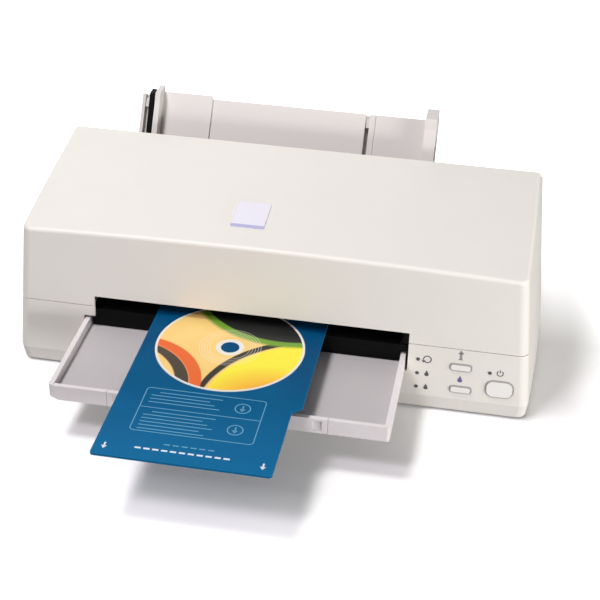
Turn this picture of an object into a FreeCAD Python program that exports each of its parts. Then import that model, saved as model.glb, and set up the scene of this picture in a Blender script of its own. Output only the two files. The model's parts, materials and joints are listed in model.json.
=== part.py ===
import FreeCAD, Part
import math
import os
from FreeCAD import Vector

# Disc label printer, in millimetres.  X runs to the right of someone facing the printer, Y runs from its
# front to its back, Z up.  The origin is on the table, under the middle of the printer with its carrier out.

# ---------------------------------------------------------------- overall sizes
body_depth = 234.0          # front face to back panel
carrier_out = 186.4         # how far the disc carrier stands out of the front face at rest
foot_height = 2.5
foot_radius = 9.0
foot_inset = 24.0
wall = 2.5                  # moulded case wall
seam_gap = 0.6              # line between two mouldings
run_gap = 0.3               # clearance between pieces that pass each other
pin_gap = 0.05              # radial clearance of a shaft in its bore

front_y = (carrier_out - body_depth) / 2.0
inner_floor_z = foot_height + wall

# ---------------------------------------------------------------- outer form of the case
half_base = 217.0           # half width of the front at the table
side_lean = 13.5            # how far each side leans in over the plan height
plan_height = 150.0
back_flare = 1.5            # the back is wider than the front on each side
bow_base = 4.0              # how far the sides bow out, at the table
bow_top = 1.5               # and at the plan height
front_corner_radius = 7.0   # upright corners
back_corner_radius = 14.0
skirt_height = 12.5         # the lowest band of the case leans in
skirt_inset = 2.5
seam_z = 64.3               # seam between the bottom case and what stands on it
cover_front_z = 131.1       # cover's front edge at its two ends
crown_rise = 5.5            # how much higher that edge is at its middle
cover_back_z = 152.3
cover_depth = 151.3
cover_edge_round = 3.2
deck_front_z = 147.0        # sloping deck behind the cover
deck_back_z = 104.0
form_top_z = 185.0
reach_x = half_base + 4.0 * bow_base      # past either side of the case
foot_x = half_base - 32.0

# ---------------------------------------------------------------- slot and tray opening
slot_left = 69.7 - half_base
slot_right = half_base - 101.4       # the control panel lies to its right
slot_top_z = 74.0
slot_step_z = 54.5          # below this the opening is as wide as the tray
apron_thick = 2.0
apron_gap = 0.7             # between the apron and the tray's floor

# ---------------------------------------------------------------- output tray
tray_left = slot_left - 8.7
tray_right = slot_right - 2.1
tray_out = 97.0             # how far the tray stands out at rest
tray_length = 159.0
tray_travel = 95.0
tray_bottom_z = 37.6
tray_floor_top_z = 43.9
tray_floor = 2.0
rail_top_z = 51.6
rail_width = 4.0
lip_top_z = 50.9
lip_thick = 3.6
tray_corner_cut = 7.0       # the lip's lower left corner is cut off
extension_width = 174.6
extension_centre_x = -21.5
extension_length = 128.0
extension_thick = 1.8
extension_travel = 92.0
guide_lip = 3.4             # lips under the tray that carry the extension
guide_thick = 1.0

# ---------------------------------------------------------------- disc and carrier
path_top_z = 63.6           # top of the disc
disc_radius = 60.0
disc_bore_radius = 7.5
disc_thick = 1.2
disc_back = -34.5           # disc centre, measured back from the front face
disc_x = -24.1
pocket_depth = 1.0
pocket_gap = 0.4
hub_gap = 0.2
carrier_thick = 2.0
carrier_left = 70.2         # from the disc's centre line
carrier_right = 71.1
carrier_right_front = 64.0  # narrower beyond the side notch
notch_start = 101.8         # the notch, measured forward from the front face
notch_end = 108.2
carrier_length = 274.0
carrier_in = 140.0
carrier_pull = 30.0
carrier_corner = 2.5

# ---------------------------------------------------------------- rollers under the path
nip_gap = 0.3
roller_radius = 6.0
feed_back = 84.0            # feed roller's axis, behind the front face
roller_left = slot_left - 0.7            # rubbered length
roller_right = slot_right - 9.6
neck_radius = 3.0
eject_shaft_radius = 2.5
eject_tyre_width = 11.0
eject_tyre_count = 7
star_radius = 5.0
star_width = 0.8
star_bar_depth = 11.0
pinch_radius = 4.0
pinch_width = 24.0
pinch_count = 5
pinch_axle_radius = 1.5
platen_back = 46.5
platen_depth = 19.5
platen_top_gap = 0.6
platen_height = 7.0
platen_rib_count = 12
platen_rib_width = 1.6
platen_rib_height = 1.6

# ---------------------------------------------------------------- gears
gear_module = 1.0
gear_addendum = 0.8
gear_dedendum = 1.05
gear_width = 5.0
gear_backlash = 0.12        # taken off each flank, as an arc at the pitch circle
pressure_angle = math.radians(20.0)
roller_gear_teeth = 24
idler_gear_teeth = 26
pinion_teeth = 14
eject_back = feed_back - gear_module * (roller_gear_teeth + idler_gear_teeth)
pinion_angle = -52.0        # from the feed roller's axis, degrees below straight back

# ---------------------------------------------------------------- chassis
post_radius = 4.0           # posts that join the rear case to the bottom case
post_inset = 17.0
chassis_thick = 1.5
chassis_left_x = 27.0 - half_base       # inner faces
chassis_right_x = half_base - 18.0
chassis_front = 22.0
chassis_back = 150.0
chassis_bottom_z = inner_floor_z
chassis_top_z = 124.0
gear_gap = 1.5              # between the left side plate and the gears
beam_back = 106.0
beam_thick = 1.5
beam_bottom_z = 69.0
beam_top_z = 122.0
beam_flange = 9.0
front_beam_front = 24.0
front_beam_depth = 13.0
front_beam_z = 76.0
front_beam_thick = 1.5
rod_radius = 4.0
rod_back = 87.0
rod_z = 92.0

# ---------------------------------------------------------------- carriage
carriage_x = chassis_right_x - 49.0      # middle of the carriage at home
carriage_width = 92.0
carriage_front = 41.0
carriage_depth = 37.0
carriage_floor_z = 67.0
carriage_top_z = 94.0
carriage_wall = 2.0
window_rise = 16.0          # front windows of the carriage, above its underside
head_gap = 1.6              # above the disc
head_width = 60.0
head_front = 48.0
head_depth = 16.0
cartridge_top_z = 98.5
black_width = 28.0
colour_width = 52.0
cartridge_gap = 0.5
latch_thick = 2.4
latch_lift = 1.6
latch_open = 30.0
sleeve_radius = 7.0
belt_back = 97.0
belt_width = 6.0
belt_thick = 1.4
belt_z = 108.0
pulley_radius = 8.0
pulley_flange = 1.2
pulley_left_x = chassis_left_x + 14.0
pulley_right_x = chassis_right_x - 18.0
belt_drop = 0.3             # between the belt and what it runs on
motor_radius = 16.0
motor_length = 26.0
motor_shaft_radius = 1.5
strip_height = 8.0
strip_thick = 0.4
strip_z = 117.0

# ---------------------------------------------------------------- sheet feeder
feeder_left = slot_left - 10.7
feeder_right = slot_right - 3.6
feeder_wall = 10.5          # thickness of the fixed right wall
feeder_top_back = 202.0     # top edge of the hopper's front surface, behind the front face
feeder_top_z = 168.0
feeder_foot_back = 146.0
feeder_foot_z = 84.0
feeder_wall_top_z = 175.0
feeder_wall_reach = 18.0    # how far the side walls stand in front of the hopper
hopper_thick = 2.0
hopper_right = feeder_right - 64.5
hopper_left = feeder_left + 7.5
hopper_back_gap = 6.0       # room between the hopper and the frame's back plate
frame_thick = 2.5
guide_plate_width = 45.0
guide_plate_thick = 1.4
guide_wall_thick = 4.6
guide_left = hopper_left + 8.9           # outer face of the edge guide's wall at rest
guide_travel = 105.0
lever_thick = 4.0
lever_gap = 1.8
lever_pin_radius = 1.2
hopper_pin_radius = 1.8
cheek_thick = 3.0
leg_front = 160.0           # legs of the feeder's frame
leg_depth = 16.0
leg_top_z = 105.0           # where the legs meet the leaning back plate
pickup_radius = 11.0
pickup_clear = 9.0          # between the pickup tyres and the resting hopper
pickup_shaft_radius = 3.0
pickup_along = 24.0         # up the hopper from its foot
tyre_width = 22.0

# ---------------------------------------------------------------- electrics in the bottom case
board_thick = 1.6
board_stand = 4.0
main_board_front = 72.0
main_board_depth = 118.0
board_post_inset = 7.0
# larger parts on the main board: corner, width and depth as shares of the board's, and height
board_parts = [(0.33, 0.24, 0.23, 0.20, 2.5), (0.65, 0.17, 0.25, 0.10, 3.5),
               (0.14, 0.58, 0.13, 0.30, 10.5), (0.59, 0.66, 0.36, 0.07, 8.5)]
supply_margin = 45.0        # from the left side plate, past the feed motor
supply_left = chassis_left_x + supply_margin
supply_width = 115.0
supply_front = 70.0
supply_depth = 120.0
supply_height = 24.0
supply_gap = 20.0           # between the power supply and the main board
board_margin = 104.0        # from the main board to the right side plate
main_board_left = supply_left + supply_width + supply_gap
main_board_width = chassis_right_x - board_margin - main_board_left
pad_left = tray_left + 16.0
pad_right = tray_right - 8.5
pad_front = 14.0
pad_depth = 44.0
pad_height = 14.0
station_gap = 12.0          # between the rollers and the cap station
station_front = 40.0
station_depth = 32.0
station_top_z = 56.0
cap_wall = 2.0

# ---------------------------------------------------------------- back panel
inlet_x = 39.0 - half_base
inlet_z = 36.0
inlet_width = 26.0
inlet_height = 20.0
inlet_mouth_width = 19.0
inlet_mouth_height = 9.0
port_left = half_base - 189.0
port_width = 62.0

# ---------------------------------------------------------------- badge plate on the cover
badge_width = 28.0
badge_length = 36.0
badge_thick = 0.8
badge_corner = 2.0
badge_x = -24.0
badge_back = 45.0

# ---------------------------------------------------------------- front panel
small_button_width = 17.6
small_button_height = 6.8
power_width = 22.6
power_height = 16.4
button_stand = 1.0
button_travel = 1.0
button_flange = 1.4
button_flange_thick = 1.2
button_gap = 0.3
load_button = (half_base - 58.0, 46.9)
clean_button = (half_base - 56.8, 25.2)
power_button = (half_base - 25.4, 30.0)
lamp_radius = 1.5
lamp_stand = 0.4
status_lamps = [(half_base - 93.0, z) for z in (50.4, 36.8, 23.4)]
power_lamp = (half_base - 34.4, 45.0)
panel_board_back = 9.0
board_post_radius = 2.5
board_left_x = half_base - 99.0
board_right_x = half_base - 12.0
board_low_z = 13.0
board_high_z = 59.0
board_post_left = half_base - 77.0
board_post_right = half_base - 43.0
board_posts = [(board_post_left, 18.0), (board_post_left, 53.0),
               (board_post_right, 16.5), (board_post_right, 55.0)]

# ---------------------------------------------------------------- derived places
floor_z = foot_height
carrier_top_z = path_top_z - disc_thick + pocket_depth
carrier_bottom_z = carrier_top_z - carrier_thick
roller_z = carrier_bottom_z - nip_gap - roller_radius
over_path_z = path_top_z + nip_gap
hopper_length = math.hypot(feeder_top_back - feeder_foot_back, feeder_top_z - feeder_foot_z)
hopper_angle = math.atan2(feeder_top_z - feeder_foot_z, feeder_top_back - feeder_foot_back)
gear_left_x = chassis_left_x - chassis_thick - gear_gap - gear_width


def back(distance):
    """Y of what lies this far behind the front face."""
    return front_y + distance


def box(x0, x1, d0, d1, z0, z1):
    """Block between two X, two distances behind the front face and two heights."""
    return Part.makeBox(x1 - x0, d1 - d0, z1 - z0, Vector(x0, back(d0), z0))


def rod_x(x0, x1, d, z, radius):
    """Round bar along X."""
    return Part.makeCylinder(radius, x1 - x0, Vector(x0, back(d), z), Vector(1, 0, 0))


def rod_y(x, d0, d1, z, radius):
    """Round bar along Y."""
    return Part.makeCylinder(radius, d1 - d0, Vector(x, back(d0), z), Vector(0, 1, 0))


def rod_z_up(x, d, z0, z1, radius):
    """Round bar along Z."""
    return Part.makeCylinder(radius, z1 - z0, Vector(x, back(d), z0), Vector(0, 0, 1))


def side_prism(x0, x1, outline):
    """Outline of (distance behind the front face, height) points, carried along X."""
    points = [Vector(x0, back(d), z) for d, z in outline]
    face = Part.Face(Part.makePolygon(points + [points[0]]))
    return face.extrude(Vector(x1 - x0, 0, 0))


def front_prism(d0, d1, outline):
    """Outline of (x, height) points, carried from one distance to another."""
    points = [Vector(x, back(d0), z) for x, z in outline]
    face = Part.Face(Part.makePolygon(points + [points[0]]))
    return face.extrude(Vector(0, d1 - d0, 0))


def plan_prism(z0, z1, outline):
    """Outline of (x, distance behind the front face) points, carried upwards."""
    points = [Vector(x, back(d), z0) for x, d in outline]
    face = Part.Face(Part.makePolygon(points + [points[0]]))
    return face.extrude(Vector(0, 0, z1 - z0))


def rounded_block(x0, x1, d0, d1, z0, z1, radius):
    """Block whose four edges along Y are rounded."""
    block = box(x0, x1, d0, d1, z0, z1)
    edges = [edge for edge in block.Edges if abs(edge.tangentAt(edge.FirstParameter).y) > 0.9]
    return block.makeFillet(radius, edges)


def fuse(shapes):
    """One solid from shapes that touch."""
    return shapes[0].multiFuse(shapes[1:]).removeSplitter()


def save(node, shapes):
    """Write one node, as a solid or a group of solids."""
    if not isinstance(shapes, list):
        shapes = [shapes]
    solids = [solid for shape in shapes for solid in shape.Solids]
    group = solids[0] if len(solids) == 1 else Part.makeCompound(solids)
    group.exportStep("parts/" + node + ".step")
    print(node, len(solids), round(sum(solid.Volume for solid in solids) / 1000.0, 2), "cm3")


# ================================================================ outer form
def half_width(z, share):
    """Half width of the bowed case at one height, at a share of the way from its front to its back."""
    up = z / plan_height
    bow = bow_base + (bow_top - bow_base) * up
    return half_base - side_lean * up + back_flare * share + 4.0 * share * (1.0 - share) * bow


def corner_arc(side, z, y, inward, half, radius, end_half):
    """Rounded upright corner, from the straight front or back to the bowed side."""
    start = Vector(side * (half - radius), y, z)
    in_arc = radius * (1.0 - math.sqrt(0.5))
    middle = Vector(side * (half - in_arc), y + inward * in_arc, z)
    end = Vector(side * end_half, y + inward * radius, z)
    return start, middle, end


def plan_wire(z, inset, shrink):
    """Plan of the case at one height: straight front and back, bowed sides, four rounded corners."""
    front_radius = front_corner_radius - shrink
    back_radius = back_corner_radius - shrink
    edge = inset + shrink
    y0 = back(edge)
    y1 = back(body_depth - edge)
    near_share = (edge + front_radius) / body_depth
    far_share = 1.0 - (edge + back_radius) / body_depth
    corners = {}
    for side in (-1, 1):
        corners[side, 0] = corner_arc(side, z, y0, 1.0, half_width(z, 0.0) - edge, front_radius,
                                      half_width(z, near_share) - edge)
        corners[side, 1] = corner_arc(side, z, y1, -1.0, half_width(z, 1.0) - edge, back_radius,
                                      half_width(z, far_share) - edge)
    y_mid = (y0 + y1) / 2.0
    mid_half = half_width(z, 0.5) - edge
    edges = [Part.makeLine(corners[-1, 0][0], corners[1, 0][0]), Part.Arc(*corners[1, 0]).toShape(),
             Part.Arc(corners[1, 0][2], Vector(mid_half, y_mid, z), corners[1, 1][2]).toShape(),
             Part.Arc(*reversed(corners[1, 1])).toShape(), Part.makeLine(corners[1, 1][0], corners[-1, 1][0]),
             Part.Arc(*corners[-1, 1]).toShape(),
             Part.Arc(corners[-1, 1][2], Vector(-mid_half, y_mid, z), corners[-1, 0][2]).toShape(),
             Part.Arc(*reversed(corners[-1, 0])).toShape()]
    return Part.Wire(edges)


def case_form(levels, shrink):
    """Outer form of the case through (height, inset) levels, all of it shrunk inwards."""
    wires = [plan_wire(z, inset, shrink) for z, inset in levels]
    return Part.makeLoft(wires, True, True)


def crown_line(distance, drop):
    """Upper line of the cover across the case, at one distance behind the front face."""
    share = distance / cover_depth
    z_end = cover_front_z + (cover_back_z - cover_front_z) * share - drop
    rise = crown_rise * (1.0 - share)
    y = back(distance)
    return [Vector(-reach_x, y, z_end), Vector(0.0, y, z_end + rise), Vector(reach_x, y, z_end)]


def above_cover(drop):
    """All that lies above the cover's crowned top, lowered by drop."""
    wires = []
    for distance in (-front_corner_radius, cover_depth + front_corner_radius):
        left, middle, right = crown_line(distance, drop)
        left_top = Vector(left.x, left.y, form_top_z)
        right_top = Vector(right.x, right.y, form_top_z)
        edges = [Part.Arc(left, middle, right).toShape(), Part.makeLine(right, right_top)]
        edges += [Part.makeLine(right_top, left_top), Part.makeLine(left_top, left)]
        wires.append(Part.Wire(edges))
    return Part.makeLoft(wires, True, True)


# ================================================================ cover
hinge_back = cover_depth - 3.8
hinge_z = cover_back_z - 8.0
hinge_pin_radius = 2.0
hinge_lug_radius = 4.0
hinge_lug_inner = half_base - side_lean - 9.5
hinge_lug_outer = hinge_lug_inner + 3.5
hinge_sweep = 9.4           # room for the cover's rear edge when it swings up
arm_low_z = 118.0           # underside of the arms that carry the hinge


def cover_side_inner(z, distance):
    """X of the case's side wall on the inside."""
    return half_width(z, distance / body_depth) - wall


def crown_edges(hood):
    """Edges of the crowned top, all but the one at its back."""
    crown = max(hood.Faces, key=lambda face: face.CenterOfMass.z)
    return [edge for edge in crown.Edges if edge.BoundBox.YMin < back(cover_depth) - 1.0]


def top_cover():
    """Hinged hood: crowned top, front and two sides, open below and behind."""
    low = seam_z + seam_gap / 2.0
    keep = box(-reach_x, reach_x, -1.0, cover_depth, low, form_top_z)
    outer = case_form([(low, 0.0), (form_top_z, 0.0)], 0.0).common(keep).cut(above_cover(0.0))
    outer = outer.makeFillet(cover_edge_round, crown_edges(outer))
    inner = case_form([(low - 1.0, 0.0), (form_top_z, 0.0)], wall).common(
        box(-reach_x, reach_x, -1.0, cover_depth + 1.0, low - 1.0, form_top_z))
    cover = outer.cut(inner.cut(above_cover(wall)))
    cover = cover.cut(box(slot_left, slot_right, -1.0, 2.0 * wall, low - 1.0, slot_top_z))
    pieces = [cover]
    for side in (-1, 1):
        reach = cover_side_inner(hinge_z, hinge_back) + wall / 2.0
        near = hinge_lug_inner - run_gap
        x0, x1 = sorted((side * near, side * reach))
        pieces.append(rod_x(x0, x1, hinge_back, hinge_z, hinge_pin_radius))
    return fuse(pieces)


def cover_badge():
    """Plain plate that follows the cover's top."""
    half_width = badge_width / 2.0
    plan = box(badge_x - half_width, badge_x + half_width, badge_back - badge_length / 2.0,
               badge_back + badge_length / 2.0, seam_z, form_top_z)
    uprights = [e for e in plan.Edges if e.BoundBox.ZLength > 1.0]
    plan = plan.makeFillet(badge_corner, uprights)
    return plan.common(above_cover(0.0)).cut(above_cover(-badge_thick))


# ================================================================ bottom case
def tray_opening():
    """Stepped opening in the bottom case's front wall: narrow for the slot, wide for the tray."""
    upper = box(slot_left, slot_right, -1.0, 2.0 * wall, slot_step_z, seam_z + 1.0)
    side_gap = 1.0
    lower = box(tray_left - side_gap, slot_right, -1.0, 2.0 * wall, tray_bottom_z - run_gap, slot_step_z)
    return fuse([upper, lower])


def slot_apron():
    """Dark plate inside the opening, held by an ear at each end, with a sheet guide back to the rollers."""
    low = tray_floor_top_z + apron_gap
    high = carrier_bottom_z - apron_gap - 0.1
    ear_low = slot_step_z + run_gap
    rear = wall + apron_thick
    left = tray_left + rail_width + 2.0
    right = tray_right - rail_width - 1.5
    plate = box(left, right, wall, rear, low, high)
    left_ear = box(tray_left - 0.4, left + 1.0, wall, rear, ear_low, high)
    right_ear = box(right - 1.0, slot_right + 6.4, wall, rear, ear_low, high)
    guide = box(left, right, rear - 0.5, eject_back - roller_radius - 1.0, high - apron_thick, high)
    return fuse([plate, left_ear, right_ear, guide])


def joining_posts():
    """Places where the rear case stands on the bottom case."""
    reach = half_base - side_lean - post_inset
    return [(x, d) for x in (-reach, reach) for d in (cover_depth + post_inset, body_depth - post_inset)]


def bottom_case():
    """Tub with a leaning skirt, two front blocks and the tray's opening."""
    top = seam_z - seam_gap / 2.0
    skirt_top = floor_z + skirt_height
    outer = case_form([(floor_z, skirt_inset), (skirt_top, 0.0), (top, 0.0)], 0.0)
    cavity = case_form([(inner_floor_z, skirt_inset), (skirt_top, 0.0), (top + 1.0, 0.0)], wall)
    tub = outer.cut(cavity).cut(tray_opening())
    pieces = [tub]
    ledge_top = tray_bottom_z - run_gap
    ledge_end = tray_length - tray_out + tray_travel
    for x0, x1 in ((tray_left - 1.0, tray_left + 6.0), (tray_right - 6.0, tray_right + 1.0)):
        pieces.append(box(x0, x1, wall - 0.5, ledge_end, ledge_top - wall, ledge_top))
        for d in (wall + 25.0, 110.0):
            pieces.append(box(x0 + 2.0, x0 + 5.0, d, d + 4.0, inner_floor_z - 0.5, ledge_top - 1.0))
    for x, d in joining_posts():
        pieces.append(rod_z_up(x, d, inner_floor_z - 0.5, top, post_radius))
    for x, z in board_posts:
        pieces.append(rod_y(x, wall - 0.5, panel_board_back, z, board_post_radius))
    tub = fuse(pieces)
    for x, z in (load_button, clean_button):
        tub = tub.cut(button_hole(x, z, small_button_width, small_button_height))
    tub = tub.cut(button_hole(power_button[0], power_button[1], power_width, power_height))
    for x, z in status_lamps + [power_lamp]:
        tub = tub.cut(rod_y(x, -1.0, wall + 1.0, z, lamp_radius + pin_gap))
    tub = tub.cut(inlet_block(run_gap)).cut(port_block(run_gap))
    return tub


# ================================================================ rear case
def deck_profile(drop):
    """Side outline of the rear case's upper surface, lowered by drop."""
    return [(cover_depth + seam_gap, deck_front_z - drop), (body_depth + 5.0, deck_back_z - drop)]


def deck_height(distance, drop):
    """Height of the deck at one distance, lowered by drop."""
    (d0, z0), (d1, z1) = deck_profile(drop)
    return z0 + (z1 - z0) * (distance - d0) / (d1 - d0)


def rear_case():
    """Sloping deck, side walls and back panel behind the cover, with the feeder's opening and hinge arms."""
    low = seam_z + seam_gap / 2.0
    start = cover_depth + seam_gap

    def solid(inset, drop, first, z0):
        form = case_form([(z0, 0.0), (form_top_z, 0.0)], inset)
        (d0, z_front), (d1, z_back) = deck_profile(drop)
        profile = [(first, z0), (first, z_front), (d1, z_back), (d1, z0)]
        return form.common(side_prism(-reach_x, reach_x, profile))

    shell = solid(0.0, 0.0, start, low).cut(solid(wall, wall, start - 1.0, low - 1.0))
    opening = box(feeder_left - run_gap * 2.0, feeder_right + run_gap * 2.0, start - 1.0,
                  body_depth - wall - 6.0, seam_z + 20.0, form_top_z)
    shell = shell.cut(opening)
    shell = shell.cut(rod_x(-reach_x, reach_x, hinge_back, hinge_z, hinge_sweep))
    pieces = [shell]
    arm_back = cover_depth + 16.0
    arm_front = hinge_back - hinge_lug_radius
    arm_top = hinge_z - 1.5
    deck_z = deck_height(arm_back, 0.0)
    web_front = start + 1.0
    web_back = web_front + wall
    for side in (-1, 1):
        x0, x1 = sorted((side * hinge_lug_inner, side * hinge_lug_outer))
        arm = side_prism(x0, x1, [(arm_front, hinge_z), (arm_front, arm_low_z), (arm_back, arm_low_z),
                                  (arm_back, deck_z - 1.0), (hinge_back + hinge_sweep + 1.5, arm_top - 4.0),
                                  (hinge_back, arm_top)])
        arm = arm.fuse(rod_x(x0, x1, hinge_back, hinge_z, hinge_lug_radius))
        arm = arm.cut(rod_x(x0 - 1.0, x1 + 1.0, hinge_back, hinge_z, hinge_pin_radius + pin_gap))
        web_end = cover_side_inner(arm_low_z + 12.0, arm_back) + 0.5
        web_x0, web_x1 = sorted((side * (hinge_lug_outer - 0.5), side * web_end))
        web = box(web_x0, web_x1, web_front, web_back, arm_low_z - 6.0, arm_low_z + 12.0)
        post = box(x0, x1, web_front, web_back, arm_low_z - 6.0, arm_low_z + 1.0)
        pieces += [arm, web, post]
    for x, d in joining_posts():
        top_z = deck_height(d + post_radius, wall / 2.0)
        pieces.append(rod_z_up(x, d, seam_z - seam_gap / 2.0, top_z, post_radius))
    return fuse(pieces)


# ================================================================ tray
def output_tray():
    """Pan with two rails, a front lip with a place for the extension's front, and guides below."""
    front = -tray_out
    rear = front + tray_length
    floor_low = tray_floor_top_z - tray_floor
    pan = [box(tray_left, tray_right, front, rear, floor_low, tray_floor_top_z)]
    for x0 in (tray_left, tray_right - rail_width):
        pan.append(box(x0, x0 + rail_width, front, rear, tray_bottom_z, rail_top_z))
    lip = box(tray_left, tray_right, front, front + lip_thick, tray_bottom_z, lip_top_z)
    pan.append(lip)
    left, right = extension_edges()
    for side, edge in ((-1, left), (1, right)):
        strip_x0, strip_x1 = sorted((edge + side * run_gap, edge + side * (run_gap + 2.0)))
        lip_x0, lip_x1 = sorted((edge - side * guide_lip, edge + side * (run_gap + 2.0)))
        low = extension_low() - run_gap - guide_thick
        pan.append(box(strip_x0, strip_x1, front + lip_thick, rear, low, floor_low + 0.5))
        pan.append(box(lip_x0, lip_x1, front + lip_thick, rear, low, low + guide_thick))
    tray = fuse(pan)
    tray = tray.cut(box(left - run_gap, right + run_gap, front - 1.0, front + lip_thick + run_gap,
                        tray_bottom_z - 2.0, lip_top_z + 2.0))
    cut_x = tray_left + tray_corner_cut
    low = tray_bottom_z - 1.0
    cut_z = tray_bottom_z + tray_corner_cut / 2.0
    cut_outline = [(tray_left - 1.0, low), (cut_x, low), (cut_x, tray_bottom_z), (tray_left, cut_z),
                   (tray_left - 1.0, cut_z)]
    corner = front_prism(front - 1.0, front + 40.0, cut_outline)
    tray = tray.cut(corner)
    uprights = [e for e in tray.Edges if e.BoundBox.YMax < back(front + 0.01) and e.BoundBox.XLength < 0.01
                and (e.BoundBox.XMin < tray_left + 0.1 or e.BoundBox.XMax > tray_right - 0.1)]
    return tray.makeFillet(2.5, uprights)


def extension_edges():
    """Left and right edge of the tray extension."""
    half = extension_width / 2.0
    return extension_centre_x - half, extension_centre_x + half


def extension_low():
    """Underside of the tray extension's sheet."""
    return tray_floor_top_z - tray_floor - run_gap - extension_thick


def tray_extension():
    """Sheet that slides below the tray's floor, with a front plate flush with the tray's lip."""
    left, right = extension_edges()
    front = -tray_out
    low = extension_low()
    rear = front + extension_length
    sheet = box(left + 0.2, right - 0.2, front + lip_thick - 0.5, rear, low, low + extension_thick)
    plate = box(left, right, front, front + lip_thick, tray_bottom_z, lip_top_z)
    stop = box(left + 10.0, right - 10.0, rear - 3.0, rear, low - 0.8, low + 0.1)
    finger_z = tray_bottom_z + 2.0
    extension = fuse([sheet, plate, stop])
    for x_mid in (left + 8.0, right - 8.0):
        finger = box(x_mid - 3.6, x_mid + 3.6, front - 1.0, front + 1.2, finger_z, lip_top_z - 2.2)
        extension = extension.cut(finger)
    return extension


# ================================================================ carrier and disc
def carrier_outline():
    """Plan of the carrier: narrower in front of the side notch."""
    front = -carrier_out
    rear = front + carrier_length
    x_left = disc_x - carrier_left
    x_right = disc_x + carrier_right
    x_front = disc_x + carrier_right_front
    return [(x_left, front), (x_front, front), (x_front, -notch_end), (x_right, -notch_start),
            (x_right, rear - 10.0), (x_right - 10.0, rear), (x_left + 10.0, rear), (x_left, rear - 10.0)]


def disc_carrier():
    """Flat plate with the disc's pocket and a hub."""
    plate = plan_prism(carrier_bottom_z, carrier_top_z, carrier_outline())
    fronts = [e for e in plate.Edges if e.BoundBox.ZLength > carrier_thick * 0.9
              and e.BoundBox.YMax < back(-carrier_out + 0.1)]
    plate = plate.makeFillet(carrier_corner, fronts)
    pocket_z = carrier_top_z - pocket_depth
    plate = plate.cut(rod_z_up(disc_x, disc_back, pocket_z, carrier_top_z + 1.0, disc_radius + pocket_gap))
    hub = rod_z_up(disc_x, disc_back, pocket_z - 0.2, path_top_z, disc_bore_radius - hub_gap)
    return fuse([plate, hub])


def disc():
    """Disc of the standard size, lying in the carrier's pocket."""
    low = path_top_z - disc_thick
    plate = rod_z_up(disc_x, disc_back, low, path_top_z, disc_radius)
    return plate.cut(rod_z_up(disc_x, disc_back, low - 1.0, path_top_z + 1.0, disc_bore_radius))


# ================================================================ gears
def involute_gear(teeth, x0, width, d, z, bore, phase):
    """Spur gear about an axis along X; phase is the angle of one tooth's middle, from straight back."""
    pitch = gear_module * teeth / 2.0
    base = pitch * math.cos(pressure_angle)
    tip = pitch + gear_addendum * gear_module
    root = pitch - gear_dedendum * gear_module
    half_tooth = math.pi / (2.0 * teeth) - gear_backlash / pitch

    def flank(radius):
        if radius <= base:
            roll = 0.0
        else:
            roll = math.sqrt((radius / base) ** 2 - 1.0)
        involute = roll - math.atan(roll)
        at_pitch = math.tan(pressure_angle) - pressure_angle
        return half_tooth + at_pitch - involute

    start = max(base, root)
    radii = [start + (tip - start) * i / 4.0 for i in range(5)]
    points = []
    for tooth in range(teeth):
        middle = math.radians(phase) + 2.0 * math.pi * tooth / teeth
        rising = [(root, middle - flank(start))] + [(r, middle - flank(r)) for r in radii]
        falling = [(r, middle + flank(r)) for r in reversed(radii)] + [(root, middle + flank(start))]
        for radius, angle in rising + falling:
            if not points or points[-1] != (radius, angle):
                points.append((radius, angle))
    corners = [Vector(x0, back(d) + r * math.cos(a), z + r * math.sin(a)) for r, a in points]
    face = Part.Face(Part.makePolygon(corners + [corners[0]]))
    gear = face.extrude(Vector(width, 0, 0))
    return gear.cut(rod_x(x0 - 1.0, x0 + width + 1.0, d, z, bore))


def gear_phase(teeth, towards):
    """Phase that puts the middle of a gap at the angle towards."""
    return towards + 180.0 / teeth


def idler_place():
    """Distance and height of the idler's axis, half way between the two rollers."""
    return (feed_back + eject_back) / 2.0, roller_z


def pinion_place():
    """Distance and height of the feed motor's axis."""
    centres = gear_module * (roller_gear_teeth + pinion_teeth) / 2.0
    angle = math.radians(pinion_angle)
    return feed_back + centres * math.cos(angle), roller_z + centres * math.sin(angle)


def roller_gear(d):
    """Gear on the left end of a roller, with a tooth towards the idler."""
    towards_idler = 180.0 if d > idler_place()[0] else 0.0
    bore = neck_radius if d == feed_back else eject_shaft_radius
    return involute_gear(roller_gear_teeth, gear_left_x, gear_width, d, roller_z, bore, towards_idler)


def idler_gear():
    """Gear between the two roller gears, with a gap towards each."""
    d, z = idler_place()
    return involute_gear(idler_gear_teeth, gear_left_x, gear_width, d, z, neck_radius - 1.0 + pin_gap,
                         gear_phase(idler_gear_teeth, 0.0))


def motor_pinion():
    """Pinion on the feed motor, in mesh with the feed roller's gear."""
    d, z = pinion_place()
    step = 360.0 / roller_gear_teeth
    teeth_round = (pinion_angle - 180.0) / step
    past_tooth = (teeth_round - round(teeth_round)) * step
    phase = gear_phase(pinion_teeth, pinion_angle + 180.0) + past_tooth * roller_gear_teeth / pinion_teeth
    return involute_gear(pinion_teeth, gear_left_x, gear_width, d, z, motor_shaft_radius, phase)


# ================================================================ rollers
def feed_roller():
    """Steel shaft that runs in the side plates, and the rubber sleeve pressed on it."""
    end = chassis_right_x + chassis_thick + 1.5
    shaft = rod_x(gear_left_x, end, feed_back, roller_z, neck_radius)
    sleeve = rod_x(roller_left, roller_right, feed_back, roller_z, roller_radius)
    sleeve = sleeve.cut(rod_x(roller_left - 1.0, roller_right + 1.0, feed_back, roller_z, neck_radius))
    return [shaft, sleeve]


def eject_roller():
    """Thin shaft for the eject tyres."""
    end = chassis_right_x + chassis_thick + 1.5
    return rod_x(gear_left_x, end, eject_back, roller_z, eject_shaft_radius)


def spread(count, first, last):
    """Evenly spaced places."""
    return [first + (last - first) * i / (count - 1) for i in range(count)]


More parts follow.
